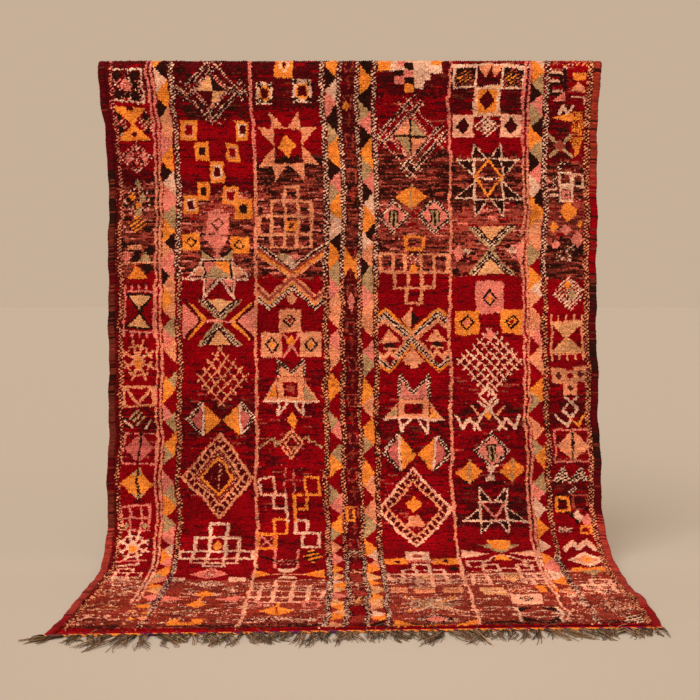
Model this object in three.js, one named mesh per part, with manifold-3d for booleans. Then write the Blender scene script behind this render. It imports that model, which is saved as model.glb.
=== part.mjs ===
// A hand-knotted wool pile rug, hung over a bar so that its lower end sweeps out over the floor.
// Millimetres, +Z up. The origin is the middle of the line where the fold bears on the bar,
// the pile faces -Y, and the floor lies FLOOR_DROP below.
import * as THREE from "three";
import { mergeVertices } from "three/addons/utils/BufferGeometryUtils.js";
import Module from "manifold-3d";

// Driving dimensions
const FRONT_LENGTH = 2590; // along the rug, from the crown of the fold to the fringed end
const BACK_LENGTH = 360; // along the rug, from the crown down to the plain end behind
const BAR_RADIUS = 25; // inside the fold
const FLOOR_DROP = 1775; // from the bearing line down to the floor
const PILE_THICKNESS = 14; // foundation and pile together
const HEM_THICKNESS = 4; // flat-woven end with no pile
const HEM_LENGTH = 24;
const PILE_SLOPE = 8; // how far the last knots lean over the hem
const SELVEDGE_WIDTH = 27;
const SELVEDGE_THICKNESS = 11;
const CORD_RADIUS = 4.5; // to the ridges of the twined cord
const CORD_PITCH = 52; // length of one turn of its twist
const STRIP_DEPTH = 6; // backing that the fringe locks grow from
const STRIP_THICKNESS = 4;
const LOCK_COUNT = 120;
const LOCK_ROOT = 4.2; // radius of a lock at its root
const LOCK_TIP = 1.1;
const GAP = 0.3; // between neighbouring pieces

// Grid density of the solids
const COLUMNS = 24;
const CORD_STEPS_PER_TURN = 6;
const LOCK_SIDES = 3;
const LOCK_STEPS = 3;

// Side edges, selvedges included: how far they stand from the middle at a distance along from the crown.
const OUTLINE = [
  { along: -360, left: 846, right: 858 },
  { along: 0, left: 890, right: 885 },
  { along: 120, left: 880, right: 879 },
  { along: 290, left: 862, right: 869 },
  { along: 400, left: 852, right: 873 },
  { along: 850, left: 856, right: 874 },
  { along: 1200, left: 857, right: 885 },
  { along: 1560, left: 867, right: 900 },
  { along: 1850, left: 861, right: 913 },
  { along: 2060, left: 852, right: 916 },
  { along: 2400, left: 849, right: 911 },
  { along: 2590, left: 852, right: 897 },
];

// The sweep from the drop to the floor is tighter on the left: the height at which it leaves the drop,
// and how far in front of the drop it touches down.
const SWEEPS = [
  { x: -880, rise: 205, reach: 290 },
  { x: -200, rise: 215, reach: 320 },
  { x: 350, rise: 220, reach: 360 },
  { x: 880, rise: 235, reach: 430 },
];
const SWEEP_HOLD = 0.35; // how long the sweep keeps to the drop and to the floor
const SWEEP_LENGTH = 560; // along the rug, of the longest sweep

// The fringed end lies aslant: it comes nearer to the drop from left to right.
const END_SLANT = 0.06; // millimetres for each one across
const SLANT_START = 1850; // along the rug, where it sets in

// Soft ridges and troughs: middle, half sizes across and along, and how far each stands out.
const FOLDS = [
  { x: -790, along: 900, across: 150, length: 800, rise: 9 },
  { x: -470, along: 1250, across: 190, length: 620, rise: -8 },
  { x: -120, along: 820, across: 170, length: 700, rise: 6 },
  { x: 230, along: 1300, across: 210, length: 560, rise: -7 },
  { x: 560, along: 780, across: 160, length: 640, rise: 7 },
  { x: 850, along: 1150, across: 140, length: 700, rise: -11 },
  { x: 900, along: 2290, across: 110, length: 150, rise: 12 },
  { x: -880, along: 2140, across: 90, length: 170, rise: 9 },
];

// The fringe as it lies: how far the locks reach and how far they lean sideways, along the fringed end.
const FRINGE = [
  { x: -850, reach: 66, lean: -48 },
  { x: -800, reach: 70, lean: -30 },
  { x: -720, reach: 98, lean: -22 },
  { x: -640, reach: 142, lean: -30 },
  { x: -560, reach: 118, lean: 8 },
  { x: -470, reach: 92, lean: -14 },
  { x: -380, reach: 138, lean: -20 },
  { x: -300, reach: 124, lean: 26 },
  { x: -210, reach: 96, lean: -8 },
  { x: -120, reach: 134, lean: 12 },
  { x: -20, reach: 108, lean: -16 },
  { x: 90, reach: 92, lean: 14 },
  { x: 200, reach: 112, lean: -10 },
  { x: 310, reach: 128, lean: 18 },
  { x: 420, reach: 100, lean: -18 },
  { x: 540, reach: 116, lean: 6 },
  { x: 660, reach: 94, lean: 24 },
  { x: 770, reach: 88, lean: -6 },
  { x: 890, reach: 66, lean: -10 },
];

// Locks differ in length by two waves along their row: the share of each, and its turn from lock to lock.
const LOCK_WAVES = [
  { share: 0.16, turn: 2.4 },
  { share: -0.1, turn: 0.9 },
];

const COLOURS = {
  pile: 0x8c1420,
  selvedge: 0x5a1a1c,
  cord: 0xd9741f,
  fringe: 0x6e5d50,
};
const WOOL_ROUGHNESS = 0.95;

const wasm = await Module();
wasm.setup();

// The value of one column of a table at a place, eased between its rows.
function fromTable(rows, key, column, place) {
  const last = rows.length - 1;
  const after = rows.findIndex((row) => row[key] >= place);
  if (after === 0) return rows[0][column];
  if (after < 0) return rows[last][column];
  const low = rows[after - 1];
  const high = rows[after];
  const share = (place - low[key]) / (high[key] - low[key]);
  return THREE.MathUtils.lerp(low[column], high[column], THREE.MathUtils.smoothstep(share, 0, 1));
}

// The curve in which a column of the rug turns from the drop onto the floor, in the (y, z) plane.
function sweepCurve(x) {
  const rise = fromTable(SWEEPS, "x", "rise", x);
  const reach = fromTable(SWEEPS, "x", "reach", x);
  return new THREE.CubicBezierCurve(
    new THREE.Vector2(-BAR_RADIUS, rise - FLOOR_DROP),
    new THREE.Vector2(-BAR_RADIUS, rise * SWEEP_HOLD - FLOOR_DROP),
    new THREE.Vector2(-BAR_RADIUS - reach * SWEEP_HOLD, -FLOOR_DROP),
    new THREE.Vector2(-BAR_RADIUS - reach, -FLOOR_DROP),
  );
}

// The back of the rug at a distance along from the crown, and the direction of its pile there.
function drape(x, along) {
  const quarter = (Math.PI / 2) * BAR_RADIUS;
  if (along < -quarter) {
    const back = new THREE.Vector2(BAR_RADIUS, along + quarter - BAR_RADIUS);
    return { back, pile: new THREE.Vector2(1, 0) };
  }
  if (along < quarter) {
    const pile = new THREE.Vector2(-Math.sin(along / BAR_RADIUS), Math.cos(along / BAR_RADIUS));
    const back = pile.clone().multiplyScalar(BAR_RADIUS).add(new THREE.Vector2(0, -BAR_RADIUS));
    return { back, pile };
  }
  const sweep = sweepCurve(x);
  const drop = along - quarter;
  const dropLength = -BAR_RADIUS - sweep.v0.y;
  if (drop < dropLength) {
    const back = new THREE.Vector2(-BAR_RADIUS, -BAR_RADIUS - drop);
    return { back, pile: new THREE.Vector2(-1, 0) };
  }
  const turn = drop - dropLength;
  const sweepLength = sweep.getLength();
  if (turn < sweepLength) {
    const tangent = sweep.getTangentAt(turn / sweepLength);
    return { back: sweep.getPointAt(turn / sweepLength), pile: new THREE.Vector2(tangent.y, -tangent.x) };
  }
  const back = new THREE.Vector2(sweep.v3.x - (turn - sweepLength), -FLOOR_DROP);
  return { back, pile: new THREE.Vector2(0, 1) };
}

// How far the folds lift the rug at a place: each is a raised cosine.
function foldHeight(x, along) {
  return FOLDS.reduce((height, fold) => {
    const across = THREE.MathUtils.clamp((x - fold.x) / fold.across, -1, 1);
    const length = THREE.MathUtils.clamp((along - fold.along) / fold.length, -1, 1);
    const share = (1 + Math.cos(Math.PI * across)) * (1 + Math.cos(Math.PI * length));
    return height + (fold.rise * share) / 4;
  }, 0);
}

// How far the slant draws a place out along the rug.
function endSlant(x, along) {
  return -END_SLANT * x * THREE.MathUtils.smoothstep(along, SLANT_START, FRONT_LENGTH);
}

// A point of the draped rug: its place across, along and above the back of the foundation.
function draped(x, along, height) {
  const { back, pile } = drape(x, along + endSlant(x, along));
  const place = back.addScaledVector(pile, height + foldHeight(x, along));
  return new THREE.Vector3(x, place.x, place.y);
}

function edge(side, along) {
  return side * fromTable(OUTLINE, "along", side < 0 ? "left" : "right", along);
}

// Distances along from the crown at which the solids have a row, from the fringed end to the plain end.
function rowStations() {
  const quarter = (Math.PI / 2) * BAR_RADIUS;
  const pileEnd = FRONT_LENGTH - HEM_LENGTH;
  const highest = Math.max(...SWEEPS.map(({ rise }) => rise));
  const sweepStart = FLOOR_DROP - BAR_RADIUS - highest + quarter;
  const sweepEnd = sweepStart + SWEEP_LENGTH;
  const plainPileEnd = HEM_LENGTH - BACK_LENGTH;
  const spans = [
    { from: FRONT_LENGTH, to: pileEnd, steps: 1 },
    { from: pileEnd, to: pileEnd - PILE_SLOPE, steps: 1 },
    { from: pileEnd - PILE_SLOPE, to: sweepEnd, steps: 6 },
    { from: sweepEnd, to: sweepStart, steps: 14 },
    { from: sweepStart, to: quarter, steps: 13 },
    { from: quarter, to: -quarter, steps: 8 },
    { from: -quarter, to: plainPileEnd + PILE_SLOPE, steps: 3 },
    { from: plainPileEnd + PILE_SLOPE, to: plainPileEnd, steps: 1 },
    { from: plainPileEnd, to: -BACK_LENGTH, steps: 1 },
  ];
  const stations = [FRONT_LENGTH];
  for (const { from, to, steps } of spans) {
    for (let step = 1; step <= steps; step++) {
      stations.push(THREE.MathUtils.lerp(from, to, step / steps));
    }
  }
  return stations;
}

const STATIONS = rowStations();

// Moves each corner of a closed geometry to place(x, y, z) and merges the corners that its faces share.
function reshaped(geometry, place) {
  geometry.deleteAttribute("normal");
  geometry.deleteAttribute("uv");
  const merged = mergeVertices(geometry, 1e-6);
  const corners = merged.getAttribute("position");
  const corner = new THREE.Vector3();
  for (let i = 0; i < corners.count; i++) {
    corner.fromBufferAttribute(corners, i);
    const { x, y, z } = place(corner.x, corner.y, corner.z);
    corners.setXYZ(i, x, y, z);
  }
  return merged;
}

// The rows of a unit box, from its lower to its upper end, as distances along the rug.
function stationAt(y) {
  return STATIONS[Math.round((y + 0.5) * (STATIONS.length - 1))];
}

function pileRug() {
  const hemStart = FRONT_LENGTH - HEM_LENGTH;
  const plainHemStart = HEM_LENGTH - BACK_LENGTH;
  const flat = new THREE.BoxGeometry(1, 1, 1, COLUMNS, STATIONS.length - 1, 1);
  return reshaped(flat, (u, v, w) => {
    const along = stationAt(v);
    const inset = SELVEDGE_WIDTH + GAP;
    const x = THREE.MathUtils.lerp(edge(-1, along) + inset, edge(1, along) - inset, u + 0.5);
    const inHem = along >= hemStart || along <= plainHemStart;
    const thickness = inHem ? HEM_THICKNESS : PILE_THICKNESS;
    return draped(x, along, thickness * (w + 0.5));
  });
}

// An overcast edge: a flattened cord, rounded on its outer side, beside the pile for the rug's whole length.
function selvedge(side) {
  const section = new THREE.CylinderGeometry(0.5, 0.5, 1, 8, STATIONS.length - 1);
  section.rotateY(Math.PI / 8);
  const corner = 0.5 * Math.cos(Math.PI / 8);
  return reshaped(section, (u, v, w) => {
    const along = stationAt(v);
    const across = (SELVEDGE_WIDTH * (side * u + corner)) / (2 * corner);
    const height = (SELVEDGE_THICKNESS * (w + corner)) / (2 * corner);
    return draped(edge(side, along) - side * (SELVEDGE_WIDTH - across), along, height);
  });
}

// The line of the fringed end on the floor, a distance out from the hem.
function beyondHem(x, out, height) {
  const { back } = drape(x, FRONT_LENGTH + endSlant(x, FRONT_LENGTH));
  return new THREE.Vector3(x, back.x - out, height - FLOOR_DROP);
}

// The twined cord along the fringed end: a square bar, twisted.
function endCord() {
  const left = edge(-1, FRONT_LENGTH);
  const right = edge(1, FRONT_LENGTH);
  const turns = (right - left) / CORD_PITCH;
  const bar = new THREE.BoxGeometry(1, 1, 1, Math.round(turns * CORD_STEPS_PER_TURN), 1, 1);
  return reshaped(bar, (u, v, w) => {
    const ridge = new THREE.Vector2(v, w).setLength(CORD_RADIUS);
    ridge.rotateAround(new THREE.Vector2(), u * turns * 2 * Math.PI);
    const x = THREE.MathUtils.lerp(left, right, u + 0.5);
    return beyondHem(x, GAP + CORD_RADIUS - ridge.x, CORD_RADIUS + ridge.y);
  });
}

function asSolid(geometry) {
  return new wasm.Manifold(
    new wasm.Mesh({
      numProp: 3,
      vertProperties: new Float32Array(geometry.getAttribute("position").array),
      triVerts: new Uint32Array(geometry.index.array),
    }),
  );
}

function asGeometry(solid) {
  const mesh = solid.getMesh();
  const geometry = new THREE.BufferGeometry();
  geometry.setAttribute("position", new THREE.BufferAttribute(mesh.vertProperties, 3));
  geometry.setIndex(new THREE.BufferAttribute(mesh.triVerts, 1));
  return geometry;
}

// One lock of warp ends: a tapering three-sided strand that lies flat on the floor and bows sideways.
function fringeLock(rootX, reach, lean) {
  const strand = new THREE.CylinderGeometry(LOCK_TIP, LOCK_ROOT, 1, LOCK_SIDES, LOCK_STEPS);
  const rootOut = 2 * (GAP + CORD_RADIUS) + STRIP_DEPTH / 2;
  return reshaped(strand, (across, v, up) => {
    const share = v + 0.5;
    const flatSide = THREE.MathUtils.lerp(LOCK_ROOT, LOCK_TIP, share) / 2;
    const bow = lean * share * share;
    return beyondHem(rootX + bow - across, rootOut + reach * share, flatSide + up);
  });
}

// The fringe: locks of warp ends whose roots are fused into a narrow strip in front of the cord.
function fringe() {
  const left = edge(-1, FRONT_LENGTH) + LOCK_ROOT;
  const right = edge(1, FRONT_LENGTH) - LOCK_ROOT;
  const inner = 2 * (GAP + CORD_RADIUS);
  const flat = new THREE.BoxGeometry(1, 1, 1, COLUMNS, 1, 1);
  const strip = reshaped(flat, (u, v, w) => {
    const x = THREE.MathUtils.lerp(left - LOCK_ROOT, right + LOCK_ROOT, u + 0.5);
    return beyondHem(x, inner + STRIP_DEPTH * (0.5 - v), STRIP_THICKNESS * (w + 0.5));
  });
  let solid = asSolid(strip);
  for (let i = 0; i < LOCK_COUNT; i++) {
    const x = THREE.MathUtils.lerp(left, right, i / (LOCK_COUNT - 1));
    const uneven = LOCK_WAVES.reduce((length, { share, turn }) => length + share * Math.sin(i * turn), 1);
    const reach = uneven * fromTable(FRINGE, "x", "reach", x);
    const lock = fringeLock(x, reach, fromTable(FRINGE, "x", "lean", x));
    solid = solid.add(asSolid(lock));
  }
  return asGeometry(solid);
}

function piece(name, geometry, colour) {
  const material = new THREE.MeshStandardMaterial({
    color: colour,
    roughness: WOOL_ROUGHNESS,
    metalness: 0,
  });
  const mesh = new THREE.Mesh(geometry, material);
  mesh.name = name;
  return mesh;
}

const rug = new THREE.Group();
rug.add(
  piece("pile_rug", pileRug(), COLOURS.pile),
  piece("selvedge_left", selvedge(-1), COLOURS.selvedge),
  piece("selvedge_right", selvedge(1), COLOURS.selvedge),
  piece("end_cord", endCord(), COLOURS.cord),
  piece("fringe", fringe(), COLOURS.fringe),
);

export default rug;
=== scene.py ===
"""A hand-knotted boujad rug, hung over a bar so that its lower end sweeps out over the floor.

The pile is charted knot by knot and every knot is a leaning tuft. Metres, +Z up, pile towards -Y.
"""
import math

import bpy
import numpy as np
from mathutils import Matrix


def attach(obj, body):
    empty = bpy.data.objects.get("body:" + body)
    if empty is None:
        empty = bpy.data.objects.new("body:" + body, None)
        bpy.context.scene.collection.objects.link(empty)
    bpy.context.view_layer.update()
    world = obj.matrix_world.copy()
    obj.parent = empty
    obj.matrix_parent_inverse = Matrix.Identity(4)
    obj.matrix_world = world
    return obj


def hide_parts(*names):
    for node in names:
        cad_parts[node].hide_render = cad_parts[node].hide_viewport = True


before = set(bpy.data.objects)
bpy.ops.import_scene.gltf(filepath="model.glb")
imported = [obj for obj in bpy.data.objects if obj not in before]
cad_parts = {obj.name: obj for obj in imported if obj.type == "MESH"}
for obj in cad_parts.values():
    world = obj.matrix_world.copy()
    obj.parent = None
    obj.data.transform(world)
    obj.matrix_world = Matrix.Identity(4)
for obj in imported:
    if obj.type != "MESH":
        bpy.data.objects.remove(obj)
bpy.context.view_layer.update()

# Driving dimensions
FRONT_LENGTH = 2.590  # along the rug, from the crown of the fold to the fringed end
BACK_LENGTH = 0.360  # along the rug, from the crown down to the plain end behind
CUT_SIZE = (1.75, 2.95)
BAR_RADIUS = 0.025  # inside the fold
FLOOR_DROP = 1.775  # from the bearing line down to the floor
HEM_LENGTH = 0.024
HEM_TOP = 0.004
SELVEDGE_WIDTH = 0.027
SELVEDGE_THICKNESS = 0.011
SWEEP_HOLD = 0.35  # how long the sweep keeps to the drop and to the floor
END_SLANT = 0.06  # how much nearer to the drop the fringed end comes for each metre across
SLANT_START = 1.850  # along the rug, where the slant sets in

# Heights above the back of the rug
WEFT_LOW = 0.0003
WEFT_HIGH = 0.0012
KNOT_BACK = 0.0016
KNOT_VALLEY = 0.0090
TUFT_TOP = 0.0126

# Side edges, selvedges included: distance along from the crown, reach to the left and to the right.
OUTLINE = [
    (-0.360, 0.846, 0.858),
    (0.000, 0.890, 0.885),
    (0.120, 0.880, 0.879),
    (0.290, 0.862, 0.869),
    (0.400, 0.852, 0.873),
    (0.850, 0.856, 0.874),
    (1.200, 0.857, 0.885),
    (1.560, 0.867, 0.900),
    (1.850, 0.861, 0.913),
    (2.060, 0.852, 0.916),
    (2.400, 0.849, 0.911),
    (2.590, 0.852, 0.897),
]

# The sweep from the drop to the floor: place across, rise of its start, reach to where it touches down.
SWEEPS = [
    (-0.880, 0.205, 0.290),
    (-0.200, 0.215, 0.320),
    (0.350, 0.220, 0.360),
    (0.880, 0.235, 0.430),
]

# Soft ridges and troughs: middle across and along, half sizes across and along, and how far each stands out.
FOLDS = [
    (-0.790, 0.900, 0.150, 0.800, 0.009),
    (-0.470, 1.250, 0.190, 0.620, -0.008),
    (-0.120, 0.820, 0.170, 0.700, 0.006),
    (0.230, 1.300, 0.210, 0.560, -0.007),
    (0.560, 0.780, 0.160, 0.640, 0.007),
    (0.850, 1.150, 0.140, 0.700, -0.011),
    (0.900, 2.290, 0.110, 0.150, 0.012),
    (-0.880, 2.140, 0.090, 0.170, 0.009),
]

# The fringe as it lies: place across, reach of its locks, and how far they lean sideways.
FRINGE = [
    (-0.850, 0.066, -0.048),
    (-0.800, 0.070, -0.030),
    (-0.720, 0.098, -0.022),
    (-0.640, 0.142, -0.030),
    (-0.560, 0.118, 0.008),
    (-0.470, 0.092, -0.014),
    (-0.380, 0.138, -0.020),
    (-0.300, 0.124, 0.026),
    (-0.210, 0.096, -0.008),
    (-0.120, 0.134, 0.012),
    (-0.020, 0.108, -0.016),
    (0.090, 0.092, 0.014),
    (0.200, 0.112, -0.010),
    (0.310, 0.128, 0.018),
    (0.420, 0.100, -0.018),
    (0.540, 0.116, 0.006),
    (0.660, 0.094, 0.024),
    (0.770, 0.088, -0.006),
    (0.890, 0.066, -0.010),
]

# Waves of the side edges: height, radians to a metre, and a shift that parts the two sides.
EDGE_WAVES = [
    (0.0022, 23, 1),
    (0.0014, 57, 2),
]

random = np.random.default_rng(11)


# The drape

FOLD_STEPS = 41
SWEEP_STEPS = 97
GRID_X = np.linspace(-0.95, 0.95, 39)
GRID_ALONG = np.arange(-0.40, 2.80, 0.004)


def from_table(table, place, column):
    """One column of a table at given places, eased between its rows."""
    keys = np.array([row[0] for row in table])
    values = np.array([row[column] for row in table])
    place = np.clip(place, keys[0], keys[-1])
    after = np.clip(np.searchsorted(keys, place), 1, len(keys) - 1)
    share = (place - keys[after - 1]) / (keys[after] - keys[after - 1])
    return values[after - 1] + (values[after] - values[after - 1]) * share * share * (3 - 2 * share)


def profile(x):
    """The back of the rug in one column: the distance along from the crown, y and z of points down it."""
    quarter = math.pi / 2
    turn = np.linspace(-quarter, quarter, FOLD_STEPS)
    rise = from_table(SWEEPS, x, 1)
    reach = from_table(SWEEPS, x, 2)
    t = np.linspace(0, 1, SWEEP_STEPS)
    sweep_y = -BAR_RADIUS - reach * (3 * SWEEP_HOLD * (1 - t) * t**2 + t**3)
    sweep_z = rise * ((1 - t) ** 3 + 3 * SWEEP_HOLD * (1 - t) ** 2 * t) - FLOOR_DROP
    y = np.concatenate([[BAR_RADIUS], -BAR_RADIUS * np.sin(turn), sweep_y, [sweep_y[-1] - FRONT_LENGTH]])
    z = np.concatenate([[-FLOOR_DROP], BAR_RADIUS * (np.cos(turn) - 1), sweep_z, [-FLOOR_DROP]])
    along = np.concatenate([[0], np.cumsum(np.hypot(np.diff(y), np.diff(z)))])
    crown = 1 + len(turn) // 2
    return along - along[crown], y, z


def lay_drape():
    """Back points and pile directions in the (y, z) plane, on a grid of places across and along."""
    back = np.zeros((len(GRID_X), len(GRID_ALONG), 2))
    for i, x in enumerate(GRID_X):
        along, y, z = profile(x)
        back[i, :, 0] = np.interp(GRID_ALONG, along, y)
        back[i, :, 1] = np.interp(GRID_ALONG, along, z)
    tangent = np.gradient(back, axis=1)
    pile = np.stack([tangent[..., 1], -tangent[..., 0]], axis=-1)
    return back, pile / np.linalg.norm(pile, axis=-1, keepdims=True)


BACK, PILE = lay_drape()


def on_grid(values, x, along):
    """Values of a drape grid between its points."""
    i = np.clip((x - GRID_X[0]) / (GRID_X[1] - GRID_X[0]), 0, len(GRID_X) - 1.001)
    j = np.clip((along - GRID_ALONG[0]) / (GRID_ALONG[1] - GRID_ALONG[0]), 0, len(GRID_ALONG) - 1.001)
    i0, j0 = i.astype(int), j.astype(int)
    u, v = (i - i0)[..., None], (j - j0)[..., None]
    near = values[i0, j0] * (1 - v) + values[i0, j0 + 1] * v
    far = values[i0 + 1, j0] * (1 - v) + values[i0 + 1, j0 + 1] * v
    return near * (1 - u) + far * u


def fold_height(x, along):
    """How far the folds lift the rug: each is a raised cosine."""
    height = np.zeros(np.shape(x))
    for middle, middle_along, across, length, rise in FOLDS:
        a = np.clip((x - middle) / across, -1, 1)
        b = np.clip((along - middle_along) / length, -1, 1)
        height += rise * (1 + np.cos(math.pi * a)) * (1 + np.cos(math.pi * b)) / 4
    return height


def end_slant(x, along):
    """How far the slant draws places out along the rug."""
    share = np.clip((along - SLANT_START) / (FRONT_LENGTH - SLANT_START), 0, 1)
    return -END_SLANT * x * share * share * (3 - 2 * share)


def draped(x, along, height):
    """Points of the draped rug, from their places across, along and above its back."""
    x, along, height = np.broadcast_arrays(x, along, height)
    lift = height + fold_height(x, along)
    drawn = along + end_slant(x, along)
    yz = on_grid(BACK, x, drawn) + on_grid(PILE, x, drawn) * lift[..., None]
    return np.concatenate([x[..., None], yz], axis=-1)


def edge(side, along):
    """Outer edge of a selvedge, a little wavy."""
    wave = sum(height * np.sin(along * turn + shift * side) for height, turn, shift in EDGE_WAVES)
    return side * (from_table(OUTLINE, along, 1 if side < 0 else 2) + wave)


def across(share, along):
    """Place across between the selvedges: 0 at the left one, 1 at the right one."""
    left = edge(-1, along) + SELVEDGE_WIDTH
    right = edge(1, along) - SELVEDGE_WIDTH
    return left + (right - left) * share


# The weave: a chart of tufts. Each stands for four knots, one to a facet, and each knot is of one wool.
# Columns count from the left selvedge and rows down the front from the crown. Rows behind it are negative.

COLUMNS = 240
FRONT_ROWS = 428
BACK_ROWS = 56
ALL_ROWS = FRONT_ROWS + BACK_ROWS
KNOT_ROW = (FRONT_LENGTH + BACK_LENGTH - 2 * HEM_LENGTH) / ALL_ROWS
FIRST, LAST = -60, 440  # rows just past both ends

# Middles of a tuft's four facets, across and down from its tip
FACETS = np.array([(-1, 0), (0, 1), (1, 0), (0, -1)]) / 3

# Dyed wools, as display colours
WOOLS = {
    "crimson": (0.54, 0.00, 0.05),
    "wine": (0.33, 0.03, 0.05),
    "ink": (0.18, 0.07, 0.05),
    "bark": (0.41, 0.15, 0.11),
    "rust": (0.64, 0.27, 0.21),
    "brick": (0.62, 0.20, 0.16),
    "clay": (0.575, 0.19, 0.13),
    "rose": (0.75, 0.37, 0.33),
    "pink": (0.86, 0.49, 0.42),
    "peach": (0.87, 0.56, 0.40),
    "straw": (0.87, 0.62, 0.42),
    "blossom": (0.91, 0.66, 0.54),
    "cream": (0.88, 0.69, 0.58),
    "orange": (0.90, 0.53, 0.20),
    "moss": (0.70, 0.55, 0.39),
    "plum": (0.33, 0.14, 0.30),
    "yarn": (0.43, 0.33, 0.245),
}
WOOL_NAMES = list(WOOLS)

# Grounds: the wools that are mixed in them, and the share of each
GROUNDS = {
    "crimson": {"crimson": 0.92, "wine": 0.08},
    "wine": {"wine": 0.74, "crimson": 0.10, "ink": 0.09, "bark": 0.07},
    "ember": {"crimson": 0.66, "wine": 0.30, "rust": 0.04},
    "dusk": {"wine": 0.52, "crimson": 0.27, "ink": 0.11, "bark": 0.10},
    "heather": {"rust": 0.34, "bark": 0.28, "ink": 0.23, "wine": 0.10, "pink": 0.05},
    "smoke": {"ink": 0.40, "bark": 0.34, "rust": 0.20, "wine": 0.06},
    "blush": {"rust": 0.52, "bark": 0.22, "crimson": 0.13, "pink": 0.08, "ink": 0.05},
    "clay": {"clay": 0.58, "rust": 0.14, "bark": 0.19, "blossom": 0.06, "cream": 0.03},
    "sand": {"clay": 0.42, "bark": 0.22, "rust": 0.16, "blossom": 0.12, "cream": 0.08},
    "scarlet": {"crimson": 0.80, "rust": 0.12, "wine": 0.08},
}

# The ground of each panel: its first column, and the row at which each stretch starts. The smoke stretch at
# the fringed end darkens the last rows: partly the dark knots there, partly a painted shadow under the pile's
# raised edge.
PANEL_GROUNDS = [
    (0, "-56 crimson -30 wine 27 crimson 66 wine 76 heather 130 crimson 206 dusk 220 ember 240 crimson"
        " 328 sand 362 clay 404 sand 422 smoke"),
    (31, "-56 crimson -34 dusk -8 wine 36 crimson 72 dusk 80 blush 98 heather 130 crimson 190 ember 203 dusk"
         " 224 ember 262 crimson 334 clay 422 smoke"),
    (71, "-56 ember -20 wine 31 crimson 58 smoke 74 heather 130 crimson 184 ember"
         " 272 crimson 334 clay 422 smoke"),
    (107, "-56 wine 58 smoke 112 dusk 132 wine 330 dusk"),
    (132, "-56 crimson -24 wine 22 ember 40 crimson 55 smoke 86 blush 106 heather 126 crimson 196 ember"
          " 206 dusk 236 ember 280 crimson 322 sand 346 clay 422 smoke"),
    (170, "-56 wine -30 scarlet 5 wine 33 ember 45 crimson 58 smoke 88 blush 104 heather 128 crimson"
          " 188 ember 206 dusk 220 ember 250 dusk 280 crimson 320 sand 346 clay 422 smoke"),
    (209, "-56 dusk -20 scarlet 24 dusk 30 wine 60 smoke 84 blush 106 smoke 130 crimson 198 dusk 218 ember"
          " 250 dusk 270 crimson 315 clay 340 sand 374 clay 420 smoke"),
    (240, ""),
]

rows, cols = np.mgrid[-BACK_ROWS:FRONT_ROWS, 0:COLUMNS]
chart = np.zeros((*rows.shape, len(FACETS)), int)


def wander(step, size):
    """Smooth unevenness of a hand weave: random heights every few knots, eased between them."""
    grid = random.normal(0, size, (rows.shape[0] // step + 3, COLUMNS // step + 3))
    r = (rows + BACK_ROWS) / step
    c = cols / step
    r0, c0 = r.astype(int), c.astype(int)
    fr, fc = (v * v * (3 - 2 * v) for v in (r - r0, c - c0))
    near = grid[r0, c0] * (1 - fc) + grid[r0, c0 + 1] * fc
    far = grid[r0 + 1, c0] * (1 - fc) + grid[r0 + 1, c0 + 1] * fc
    return near * (1 - fr) + far * fr


slant = end_slant((cols / COLUMNS - 0.5) * CUT_SIZE[0], rows * KNOT_ROW) / KNOT_ROW
ROW = (rows + 0.5 + slant + wander(16, 0.45) + wander(4, 0.25))[..., None] + FACETS[:, 1]
COL = (cols + 0.5 + wander(20, 0.35) + wander(4, 0.25))[..., None] + FACETS[:, 0]


# Shapes: the knots inside an outline

def box(left, right, top, bottom):
    """A rectangle between two columns and two rows."""
    return (COL > left) & (COL < right) & (ROW > top) & (ROW < bottom)


def diamond(col, row, wide, tall):
    """A diamond about its middle, by its half width and half height."""
    return abs(COL - col) / wide + abs(ROW - row) / tall < 1


def polygon(*corners):
    """A convex outline through (col, row) corners."""
    sides = []
    for (c0, r0), (c1, r1) in zip(corners, corners[1:] + corners[:1]):
        sides.append(((ROW - r0) * (c1 - c0) - (COL - c0) * (r1 - r0)) / math.hypot(c1 - c0, r1 - r0))
    return (np.minimum.reduce(sides) > -0.25) | (np.maximum.reduce(sides) < 0.25)


def line(*points, width=1.3):
    """A band along a path through (col, row) points."""
    near = np.zeros(ROW.shape, bool)
    for (c0, r0), (c1, r1) in zip(points, points[1:]):
        length = max((r1 - r0) ** 2 + (c1 - c0) ** 2, 1e-6)
        t = np.clip(((ROW - r0) * (r1 - r0) + (COL - c0) * (c1 - c0)) / length, 0, 1)
        near |= np.hypot(ROW - r0 - t * (r1 - r0), COL - c0 - t * (c1 - c0)) < width / 2
    return near


def frame_of(left, right, top, bottom, width=1.3):
    """The outline of a rectangle."""
    half = width / 2
    outside = box(left - half, right + half, top - half, bottom + half)
    return outside & ~box(left + half, right - half, top + half, bottom - half)


def rim(col, row, wide, tall, width=1.4):
    """The outline of a diamond."""
    inset = width * math.hypot(wide, tall) / tall
    return diamond(col, row, wide, tall) & ~diamond(col, row, wide - inset, tall * (wide - inset) / wide)


# Fills

def dye(mask, wool, share=1.0):
    """Knots a shape in one wool, or only a share of its knots."""
    if share < 1:
        mask = mask & (random.random(ROW.shape) < share)
    chart[mask] = WOOL_NAMES.index(wool)


def twill(pitch, slope, share=0.48):
    """Slanting stripes that take up a share of the knots."""
    return (ROW + slope * COL) % pitch < share * pitch


def hatch(mask, light, dark=None, pitch=3.2, slope=0.9):
    """Slanting stripes of two wools, or of one wool on what is there."""
    stripe = twill(pitch, slope)
    dye(mask & stripe, light)
    if dark:
        dye(mask & ~stripe, dark)


def speckle(mask, wools):
    """Short slanting dashes, each in one of the wools."""
    pick = np.repeat(random.integers(0, len(wools), (rows.shape[0] // 2, COLUMNS, 1)), 2, axis=0)
    for k, wool in enumerate(wools):
        dye(mask & twill(2.4, 1.0) & (pick == k), wool, 0.85)


ROPE_DASHES = twill(1.8, 0.8, 0.4)


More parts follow.
